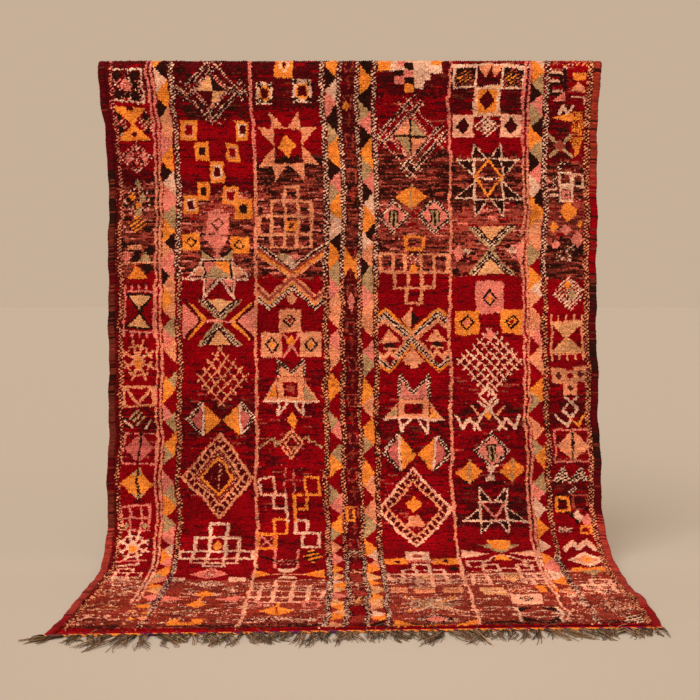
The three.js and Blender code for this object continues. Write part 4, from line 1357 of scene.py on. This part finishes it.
def pile_bands(chart, material):
    """The knots in bands: each has a leaning tuft in front and its flat loop behind."""
    colours = knot_colours(chart)
    r, c = np.mgrid[0:ALL_ROWS + 1, 0:COLUMNS + 1]
    inner = ((r % ALL_ROWS > 0) & (c % COLUMNS > 0)).astype(float)
    along = PILE_START + KNOT_ROW * (r + random.normal(0, CORNER_JITTER, r.shape) * inner)
    share = (c + random.normal(0, CORNER_JITTER, r.shape) * inner) / COLUMNS
    shorn = np.clip(r - ALL_ROWS + from_table(SHORN, c, 1), 0, 1)
    valley = (KNOT_VALLEY + random.normal(0, VALLEY_JITTER, r.shape)) * (1 - shorn) + HEM_TOP * shorn
    tops = draped(across(share, along), along, valley)
    flat_along = PILE_START + KNOT_ROW * r
    backs = draped(across(c / COLUMNS, flat_along), flat_along, KNOT_BACK)
    r, c = np.mgrid[0:ALL_ROWS, 0:COLUMNS]
    tip_along = PILE_START + KNOT_ROW * (r + random.normal(TIP_LEAN, TIP_JITTER, r.shape))
    tip_share = (c + 0.5 + random.normal(0, TIP_JITTER, r.shape)) / COLUMNS
    tip_height = TUFT_TOP + random.normal(0, HEIGHT_JITTER, r.shape) + HEIGHT_WAVE * wander(6, 1)
    shorn = shorn[:-1, :-1]
    tip_height = tip_height * (1 - shorn) + HEM_TOP * shorn
    tips = draped(across(tip_share, tip_along), tip_along, tip_height)
    rows = ALL_ROWS // PILE_BANDS
    bands = []
    for k in range(PILE_BANDS):
        knots = slice(k * rows, (k + 1) * rows)
        lines = slice(k * rows, (k + 1) * rows + 1)
        bands.append(pile_band(k, tops[lines], tips[knots], backs[lines], colours[knots], material))
    return bands


def pile_band(index, tops, tips, backs, colours, material):
    """One band as a closed slab: four facets to a tuft in front, wide flat quads behind."""
    rows, columns = tips.shape[:2]
    backs = backs[:, ::BACK_STRIDE]
    points = np.concatenate([tops.reshape(-1, 3), backs.reshape(-1, 3), tips.reshape(-1, 3)])
    top = np.arange((rows + 1) * (columns + 1)).reshape(rows + 1, columns + 1)
    under = top.size + np.arange(backs.size // 3).reshape(backs.shape[:2])
    tip = top.size + under.size + np.arange(rows * columns)
    quads = grid_quads(rows + 1, columns + 1)
    facets = np.stack([quads, np.roll(quads, -1, axis=1), np.repeat(tip[:, None], 4, axis=1)], axis=-1)
    behind = grid_quads(*backs.shape[:2], start=top.size)[:, ::-1]
    sides = np.concatenate([
        np.stack([top[1:, 0], top[:-1, 0], under[:-1, 0], under[1:, 0]], axis=1),
        np.stack([top[:-1, -1], top[1:, -1], under[1:, -1], under[:-1, -1]], axis=1),
    ])
    steps = [top[:, k:columns - BACK_STRIDE + k + 1:BACK_STRIDE] for k in range(BACK_STRIDE + 1)]
    ends = np.concatenate([
        np.stack([*[step[0] for step in steps], under[0, 1:], under[0, :-1]], axis=1),
        np.stack([*[step[-1] for step in steps[::-1]], under[-1, :-1], under[-1, 1:]], axis=1),
    ])
    polygons = [facets.reshape(-1, 3), behind, sides, ends]
    r, c = np.mgrid[0:rows + 1, 0:columns + 1]
    front_map = np.stack([c / columns, r / rows], axis=-1) * FRONT_MAP + FRONT_MAP_START
    back_map = front_map[:, ::BACK_STRIDE] * BACK_MAP + BACK_MAP_START
    tip_map = front_map[:-1, :-1] + FRONT_MAP / (2 * columns, 2 * rows)
    place = np.concatenate([front_map.reshape(-1, 2), back_map.reshape(-1, 2), tip_map.reshape(-1, 2)])
    beside = place.copy()
    beside[under, 1] = front_map[:, ::BACK_STRIDE, 1]
    above = place.copy()
    for k in (0, -1):
        beside[under[:, k], 0] = SIDE_MAP[k]
        above[under[k], 1] = END_MAP[k]
    maps = (place, facets), (place, behind), (beside, sides), (above, ends)
    uv = np.concatenate([layer[corners.ravel()] for layer, corners in maps])
    loops = colours[:, ::BACK_STRIDE, 0].reshape(-1, 3)
    rim = np.tile(np.array(WOOLS["wine"]), (len(sides) + len(ends), 1))
    faces = np.concatenate([colours.reshape(-1, 3), 0.8 * loops, rim])
    return new_piece(f"pile_{index + 1}", points, polygons, uv, faces, material)


# The foundation, hems and edges

WEFT_ROWS = 380
WARP = (0.42, 0.33, 0.27)
WARP_SHOW = 0.32  # how much of the warp shows behind, and how much of the knots
KNOT_SHOW = 0.68
HEM_ROWS = 4  # rows of knots that would take the place of a hem


def foundation(chart, material):
    """The woven ground behind the knots: weft ridges, with the backs of the knots showing through."""
    r, c = np.mgrid[0:WEFT_ROWS + 1, 0:COLUMNS + 1]
    along = -BACK_LENGTH + (FRONT_LENGTH + BACK_LENGTH) * r / WEFT_ROWS
    tucked = (c / COLUMNS - 0.5) * (1 + SELVEDGE_WIDTH / CUT_SIZE[0]) + 0.5
    points = draped(across(tucked, along), along, np.where(r % 2, WEFT_LOW, WEFT_HIGH))
    r, c = np.mgrid[0:WEFT_ROWS, 0:COLUMNS]
    knot = np.clip((r * (ALL_ROWS + 2 * HEM_ROWS)) // WEFT_ROWS - HEM_ROWS, 0, ALL_ROWS - 1)
    dyes = np.array([WOOLS[name] for name in WOOL_NAMES])
    colours = KNOT_SHOW * dyes[chart[knot, c, 0]] + WARP_SHOW * np.array(WARP)
    colours *= random.normal(0.9, 0.09, (WEFT_ROWS, COLUMNS, 1))
    quads = grid_quads(WEFT_ROWS + 1, COLUMNS + 1)
    place = np.stack([quads % (COLUMNS + 1) / COLUMNS, quads // (COLUMNS + 1) / WEFT_ROWS], axis=-1)
    points = points.reshape(-1, 3)
    return new_piece("foundation", points, [quads], place, colours.reshape(-1, 3), material)


HEM_RIBS = 6
HEM_RIB_DEPTH = 0.0012
HEM_JITTER = 0.0002
HEM_COLUMNS = 120
HEM_OVERLAP = 0.002  # of the pile over a hem

# Parts of a hem's map: height of its front, start of its back, the strip of its rim
HEM_FRONT_MAP = 0.45
HEM_BACK_MAP = 0.47
HEM_RIM_MAP = (0.95, 0.98)


def hem(name, start, end, wool, material):
    """A flat-woven end: weft ribs across a thin closed strip."""
    rows, columns = 2 * HEM_RIBS + 1, HEM_COLUMNS + 1
    r, c = np.mgrid[0:rows, 0:columns]
    along = start + (end - start) * r / (rows - 1)
    x = across(c / HEM_COLUMNS, along)
    rib = np.where(r % 2, HEM_TOP, HEM_TOP - HEM_RIB_DEPTH) + random.normal(0, HEM_JITTER, r.shape)
    points = np.concatenate([draped(x, along, rib), draped(x, along, KNOT_BACK)]).reshape(-1, 3)
    quads = grid_quads(rows, columns)
    count = rows * columns
    rim = border(rows, columns)
    polygons = [quads, quads[:, ::-1] + count, walls(rim, count)]
    down = HEM_FRONT_MAP * (quads // columns) / (rows - 1)
    front = np.stack([quads % columns / HEM_COLUMNS, down], axis=-1)
    behind = front[:, ::-1] + np.array([0, HEM_BACK_MAP])
    step = np.arange(len(rim)) / len(rim)
    after = step + 1 / len(rim)
    low, high = (np.full(len(rim), place) for place in HEM_RIM_MAP)
    skirt = np.stack([after, low, step, low, step, high, after, high], axis=-1).reshape(-1, 2)
    uv = np.concatenate([front.reshape(-1, 2), behind.reshape(-1, 2), skirt])
    faces = sum(len(p) for p in polygons)
    colours = np.array(WOOLS[wool]) * random.normal(1, 0.1, (faces, 1))
    return new_piece(name, points, polygons, uv, colours, material)


# Wool of the overcast edges: the distance along from the crown at which each stretch starts.
SELVEDGE_STRETCHES = {
    -1: [(-0.36, "wine"), (0.38, "ink"), (0.44, "bark"), (0.50, "ink"), (0.56, "bark"), (0.68, "ink"),
         (0.73, "wine"), (0.80, "bark"), (0.89, "ink"), (0.94, "bark"), (1.10, "ink"), (1.16, "bark"),
         (1.41, "wine"), (1.52, "bark"), (1.68, "brick"), (2.40, "crimson")],
    1: [(-0.36, "clay"), (0.45, "crimson"), (0.74, "bark"), (0.80, "ink"), (0.87, "wine"), (0.98, "ink"),
        (1.12, "wine"), (1.30, "ink"), (1.44, "wine"), (1.62, "brick"), (2.36, "crimson")],
}
STRAY_WRAPS = ("wine", "bark", "ink")
STRAY_WRAP_SHARE = 0.09
WRAP_PITCH = 0.0056
WRAP_GROOVE = 0.95  # of the full size, between two wraps
WRAP_JITTER = 0.04
WRAP_SLANT = 0.0016
SQUARENESS = 0.7  # of the flat bundle's section, where 1 is an ellipse
RINGS_PER_WRAP = 2
SELVEDGE_SIDES = 10


def selvedge(side, name, material):
    """An overcast edge: yarn wrapped round and round a flat bundle of warps."""
    length = FRONT_LENGTH + BACK_LENGTH
    wraps = round(length / WRAP_PITCH)
    rings = wraps * RINGS_PER_WRAP + 1
    r, s = np.mgrid[0:rings, 0:SELVEDGE_SIDES]
    angle = 2 * math.pi * s / SELVEDGE_SIDES
    along = -BACK_LENGTH + length * r / (rings - 1)
    ridge = np.where(r % RINGS_PER_WRAP, 1.0, WRAP_GROOVE) + random.normal(0, WRAP_JITTER, r.shape)
    half_width, half_height = SELVEDGE_WIDTH / 2, SELVEDGE_THICKNESS / 2
    outward = np.sign(np.cos(angle)) * abs(np.cos(angle)) ** SQUARENESS * half_width * ridge
    upward = np.sign(np.sin(angle)) * abs(np.sin(angle)) ** SQUARENESS * half_height * ridge
    slant = WRAP_SLANT * np.cos(angle)
    lengthwise = np.clip(along + slant, -BACK_LENGTH, FRONT_LENGTH)
    x = edge(side, along) - side * half_width + side * outward
    points = draped(x, lengthwise, np.maximum(half_height + upward, 0)).reshape(-1, 3)
    r, s = np.mgrid[0:rings - 1, 0:SELVEDGE_SIDES]
    after = (s + 1) % SELVEDGE_SIDES
    row = r * SELVEDGE_SIDES
    quads = np.stack([row + s, row + after, row + SELVEDGE_SIDES + after, row + SELVEDGE_SIDES + s], axis=-1)
    quads = quads.reshape(-1, 4)
    first = np.arange(SELVEDGE_SIDES)[None, ::-1]
    caps = np.concatenate([first, first[:, ::-1] + (rings - 1) * SELVEDGE_SIDES])
    if side > 0:
        quads, caps = quads[:, ::-1], caps[:, ::-1]
    u = np.stack([s, s + 1, s + 1, s], axis=-1) / SELVEDGE_SIDES
    v = np.stack([r, r, r + 1, r + 1], axis=-1) / (rings - 1)
    side_map = np.stack([u, v], axis=-1).reshape(-1, 4, 2)
    if side > 0:
        side_map = side_map[:, ::-1]
    disc = np.stack([np.cos(angle[0]), np.sin(angle[0])], axis=-1) * 0.004
    cap_map = np.concatenate([disc + 0.01, disc + 0.99])
    uv = np.concatenate([with_margin(side_map.reshape(-1, 2)), cap_map])
    colours = wrap_colours(side, wraps, len(quads) + len(caps))
    return new_piece(name, points, [quads, caps], uv, colours, material, smooth=True)


def wrap_colours(side, wraps, faces):
    """Each wrap's colour: the wool of its stretch, with some wraps of others among it, all a little darker as
    painted shade.
    """
    starts = np.array([start for start, _ in SELVEDGE_STRETCHES[side]])
    dyes = np.array([WOOLS[wool] for _, wool in SELVEDGE_STRETCHES[side]])
    others = np.array([WOOLS[wool] for wool in STRAY_WRAPS])
    along = -BACK_LENGTH + (FRONT_LENGTH + BACK_LENGTH) * np.arange(wraps) / wraps
    along += random.normal(0, 0.02, wraps)
    wrap = dyes[np.clip(np.searchsorted(starts, along) - 1, 0, len(starts) - 1)]
    stray = random.random((wraps, 1)) < STRAY_WRAP_SHARE
    wrap = np.where(stray, others[random.integers(0, len(others), wraps)], wrap)
    # Wraps are toned a little darker on average: painted shade that matches them to the self-shadowed pile,
    # with random tone from wrap to wrap.
    wrap = np.clip(wrap * random.normal(0.95, 0.06, (wraps, 1)), 0.01, 0.98)
    ring = np.repeat(wrap, RINGS_PER_WRAP * SELVEDGE_SIDES, axis=0)
    return np.concatenate([ring, wrap[:1], wrap[-1:]]) * random.normal(1, 0.14, (faces, 1))


def beyond_hem(x, out, height):
    """Points on the floor, a distance out from the fringed end."""
    yz = on_grid(BACK, x, FRONT_LENGTH + end_slant(x, FRONT_LENGTH))
    lift = np.where(out < 0, fold_height(x, FRONT_LENGTH + out), 0)
    return np.stack([x, yz[..., 0] - out, height + lift - FLOOR_DROP], axis=-1)


CORD_PITCH = 0.052
CORD_STRANDS = ("orange", "orange", "plum", "orange")
STRAND_RADIUS = 0.0021
STRAND_ORBIT = 0.0024
CORD_STEPS_PER_TURN = 16
CORD_SIDES = 6
CORD_GAP = 0.0003
WORN_SHARES = (0.6, 0.15)  # of the first two strands, where plum shows instead: at the left and right ends


def end_cord(name, material):
    """The twined cord along the fringed end: orange strands and a plum one, turned together."""
    left, right = edge(-1, FRONT_LENGTH), edge(1, FRONT_LENGTH)
    steps = round((right - left) / CORD_PITCH * CORD_STEPS_PER_TURN)
    x = np.linspace(left, right, steps)
    radius = STRAND_ORBIT + STRAND_RADIUS
    paths = []
    for k in range(len(CORD_STRANDS)):
        angle = 2 * math.pi * (x / CORD_PITCH + k / len(CORD_STRANDS))
        out = CORD_GAP + radius - STRAND_ORBIT * np.cos(angle)
        paths.append(beyond_hem(x, out, radius + STRAND_ORBIT * np.sin(angle)))
    paths = np.array(paths)
    points, quads, caps = tubes(paths, np.full(paths.shape[:2], STRAND_RADIUS), CORD_SIDES)
    per_strand = len(quads) // len(paths)
    strand = np.concatenate([np.arange(len(quads)) // per_strand, np.tile(np.arange(len(paths)), 2)])
    two_thirds_turn = 2 * CORD_SIDES * CORD_STEPS_PER_TURN // 3
    turn = np.arange(len(strand)) % per_strand // two_thirds_turn
    worn = random.random(turn.max() + 1) < np.linspace(*WORN_SHARES, turn.max() + 1)
    dyes = np.array([WOOLS[wool] for wool in CORD_STRANDS])
    colours = np.where(worn[turn, None] & (strand < 2)[:, None], np.array(WOOLS["plum"]), dyes[strand])
    colours = colours * random.normal(1, 0.08, (len(strand), 1))
    uv = tube_uv(len(paths), steps, CORD_SIDES)
    return new_piece(name, points, [quads, caps], uv, colours, material, smooth=True)


FRINGE_INSET = 0.004  # from the rug's edge to the outermost lock
FRINGE_ROOT = 0.012  # how far out from the hem the locks show
FRINGE_SPILL = (0.05, 0.003)  # how far yarns may pass the outermost locks, to the left and to the right
LOCK_COUNT = 104
LOCK_JITTER = 0.005
LOCK_HALF_WIDTH = 0.0052
LOCK_LENGTHS = (0.7, 1.2)  # of the reach in the table
LOCK_LEAN = 0.7  # of the lean in the table
LOCK_SWAY = 0.026
LOCK_SWING = 0.009
YARNS_PER_LOCK = 7
YARN_POINTS = 12
YARN_SIDES = 4
YARN_RADIUS = 0.0015
YARN_BED = 0.0018  # height of a yarn's middle where it lies on the floor
YARN_TUCK = 0.003  # how far a yarn's start is hidden
YARN_LENGTHS = (0.55, 1.05)  # of its lock's length
YARN_SWAY = 0.007
YARN_RIPPLE = 0.0045
YARN_CURL = 0.006
YARN_TURNS = (6, 12)
YARN_HUMP = 0.009
YARN_ROOT_RISE = (0.001, 0.006)
STRAY_COUNT = 24
STRAY_THINNESS = 0.6
STRAY_REACH = (0.01, 0.035)  # back over the hem
STRAY_CURL = (0.016, 0.010)  # across and along
STRAY_RISE = (0.007, 0.012)  # of its start, and from there to its tip
BRAID_STRANDS = 3
BRAID_REACH = (0.062, 0.034)  # of the corner braid, to the left and out
BRAID_ORBIT = 0.002
BRAID_HEIGHT = 0.004


def lock_yarns(root, left, right, t):
    """One lock: yarns that start side by side, sway together and part towards their tips."""
    length = random.uniform(*LOCK_LENGTHS)
    sway = random.normal(0, LOCK_SWAY)
    swing = random.normal(0, LOCK_SWING)
    phase = random.uniform(0, 6)
    yarns = []
    for _ in range(YARNS_PER_LOCK):
        start = root + random.uniform(-1, 1) * LOCK_HALF_WIDTH
        reach = length * random.uniform(*YARN_LENGTHS) * from_table(FRINGE, start, 1)
        lean = LOCK_LEAN * from_table(FRINGE, start, 2) + sway + random.normal(0, YARN_SWAY)
        turns = random.uniform(*YARN_TURNS)
        ripple = random.normal(0, YARN_RIPPLE) * np.sin(turns * t + random.uniform(0, 6))
        wave = swing * np.sin(6 * t + phase) + ripple
        x = np.clip(start + lean * t**1.6 + wave * t, left - FRINGE_SPILL[0], right + FRINGE_SPILL[1])
        hump = random.uniform(0, YARN_HUMP) * np.sin(math.pi * t) + random.uniform(*YARN_ROOT_RISE) * (1 - t)
        curl = YARN_CURL * random.random() * np.sin(turns * t) * t
        yarns.append(beyond_hem(x, FRINGE_ROOT - YARN_TUCK + reach * t + curl, YARN_BED + hump))
    return yarns


def stray_yarn(left, right, t):
    """A thin end that curls back over the hem."""
    start = random.uniform(left + 0.02, right - 0.02)
    turn = random.uniform(3, 6) * t + random.uniform(0, 6)
    x = start + random.normal(0, 0.03) * t + STRAY_CURL[0] * np.sin(turn) * t
    back = random.uniform(*STRAY_REACH) * t + STRAY_CURL[1] * np.cos(turn) * t
    return beyond_hem(x, FRINGE_ROOT - back, STRAY_RISE[0] + STRAY_RISE[1] * t)


def braid_strand(k, left, t):
    """One strand of the small braid at the left corner."""
    turn = 2 * math.pi * (2 * t + k / BRAID_STRANDS)
    out = FRINGE_ROOT + BRAID_REACH[1] * t + BRAID_ORBIT * np.cos(turn)
    return beyond_hem(left - BRAID_REACH[0] * t, out, BRAID_HEIGHT + BRAID_ORBIT * np.sin(turn))


def fringe(name, material):
    """Locks of warp ends: wavy yarns that lie out over the floor in clumps, with some strays turned back."""
    left = edge(-1, FRONT_LENGTH) + FRINGE_INSET
    right = edge(1, FRONT_LENGTH) - FRINGE_INSET
    t = np.linspace(0, 1, YARN_POINTS)
    paths = []
    for lock in range(LOCK_COUNT):
        root = left + (right - left) * lock / (LOCK_COUNT - 1) + random.uniform(-1, 1) * LOCK_JITTER
        paths += lock_yarns(root, left, right, t)
    strays = slice(len(paths), len(paths) + STRAY_COUNT)
    paths += [stray_yarn(left, right, t) for _ in range(STRAY_COUNT)]
    paths += [braid_strand(k, left, t) for k in range(BRAID_STRANDS)]
    paths = np.array(paths)
    radii = np.tile(YARN_RADIUS * (1 - 0.5 * t), (len(paths), 1))
    radii[strays] *= STRAY_THINNESS
    points, quads, caps = tubes(paths, radii, YARN_SIDES)
    per_path = len(quads) // len(paths)
    shade = random.normal(1, 0.28, (len(paths), 1))
    tint = random.normal(0, 0.015, (len(paths), 3))
    tone = np.clip(np.array(WOOLS["yarn"]) * shade + tint, 0.06, 0.9)
    colours = np.concatenate([np.repeat(tone, per_path, axis=0), tone, tone])
    uv = tube_uv(len(paths), YARN_POINTS, YARN_SIDES)
    return new_piece(name, points, [quads, caps], uv, colours, material, smooth=True)


def make_rug():
    """All pieces of the rug, each in place of its solid."""
    chart = weave()
    white = (1.0, 0.95, 0.9, 1.0)
    pile = wool_material("pile_wool", fibre=0.004, relief=0.0012, tint=(1.0, 0.6, 0.5, 1.0))
    woven = wool_material("flat_weave", fibre=0.002, relief=0.0006, tint=white)
    wrapped = wool_material("overcast_wool", fibre=0.0025, relief=0.0008, tint=(1.0, 0.8, 0.7, 1.0))
    twined = wool_material("cord_wool", fibre=0.0015, relief=0.0005, tint=white)
    spun = wool_material("fringe_yarn", fibre=0.002, relief=0.0004, tint=white)
    sheet = foundation(chart, woven)
    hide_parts("pile_rug")
    bands = pile_bands(chart, pile)
    hems = [
        hem("hem_fringed_end", FRONT_LENGTH - HEM_LENGTH - HEM_OVERLAP, FRONT_LENGTH, "crimson", woven),
        hem("hem_plain_end", -BACK_LENGTH, HEM_LENGTH - BACK_LENGTH + HEM_OVERLAP, "wine", woven),
    ]
    for side, name in ((-1, "selvedge_left"), (1, "selvedge_right")):
        wrapped_edge = selvedge(side, "overcast_" + name, wrapped)
        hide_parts(name)
    cord = end_cord("twined_cord", twined)
    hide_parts("end_cord")
    locks = fringe("fringe_locks", spun)
    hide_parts("fringe")


# Stage, light and camera

def plain_material(name, colour, roughness):
    """A material of one colour."""
    material = bpy.data.materials.new(name)
    material.use_nodes = True
    shader = material.node_tree.nodes["Principled BSDF"]
    shader.inputs["Roughness"].default_value = roughness
    shader.inputs["Base Color"].default_value = (*linear(np.array(colour)), 1.0)
    return material


FLOOR_SIZE = 300.0
FLOOR_COLOUR = (0.75, 0.71, 0.66)


def make_stage():
    """A plain pale floor."""
    bpy.ops.mesh.primitive_plane_add(size=FLOOR_SIZE, location=(0, 0, -FLOOR_DROP))
    floor = bpy.context.object
    floor.name = "floor"
    floor.data.materials.append(plain_material("pale_floor", FLOOR_COLOUR, roughness=0.9))


LAMP_COLOUR = (1.0, 0.95, 0.90)


def add_lamp(name, kind, energy, place, turn):
    """A lamp, turned by degrees."""
    light = bpy.data.lights.new(name, kind)
    light.energy = energy
    light.color = LAMP_COLOUR
    lamp = bpy.data.objects.new(name, light)
    lamp.location = place
    lamp.rotation_euler = [math.radians(angle) for angle in turn]
    bpy.context.collection.objects.link(lamp)
    return light


def make_light():
    """Warm light from all round, a broad key from the upper left in front and a soft lamp over the foot."""
    world = bpy.data.worlds.new("studio")
    world.use_nodes = True
    background = world.node_tree.nodes["Background"]
    background.inputs["Color"].default_value = (1.0, 0.755, 0.545, 1.0)
    background.inputs["Strength"].default_value = 0.57
    bpy.context.scene.world = world
    key = add_lamp("key", "SUN", 2.5, place=(0, 0, 0), turn=(47, 0, -18))
    key.angle = math.radians(50)
    fill = add_lamp("low_fill", "SPOT", 24, place=(0, -1.6, 0.3), turn=(24, 0, 0))
    fill.spot_size = math.radians(75)
    fill.spot_blend = 1.0
    fill.shadow_soft_size = 0.5


CAMERA_PLACE = (0.0, -4.287, -0.834)
FOCAL_PIXELS = 1200
HORIZON_PIXELS = 50  # how far the horizon stands above the middle of the picture
CAMERA_PITCH = math.atan(HORIZON_PIXELS / FOCAL_PIXELS)
CAMERA_LENS = 61.714


def make_camera():
    """The photograph's view: about level with the middle of the drop, looking slightly down."""
    lens = bpy.data.cameras.new("camera")
    lens.sensor_width = 36.0
    lens.lens = CAMERA_LENS
    camera = bpy.data.objects.new("camera", lens)
    camera.location = CAMERA_PLACE
    camera.rotation_euler = (math.pi / 2 - CAMERA_PITCH, 0, 0)
    bpy.context.collection.objects.link(camera)
    bpy.context.scene.camera = camera


make_stage()
make_rug()
make_light()
make_camera()
bpy.context.scene.view_settings.view_transform = "Standard"
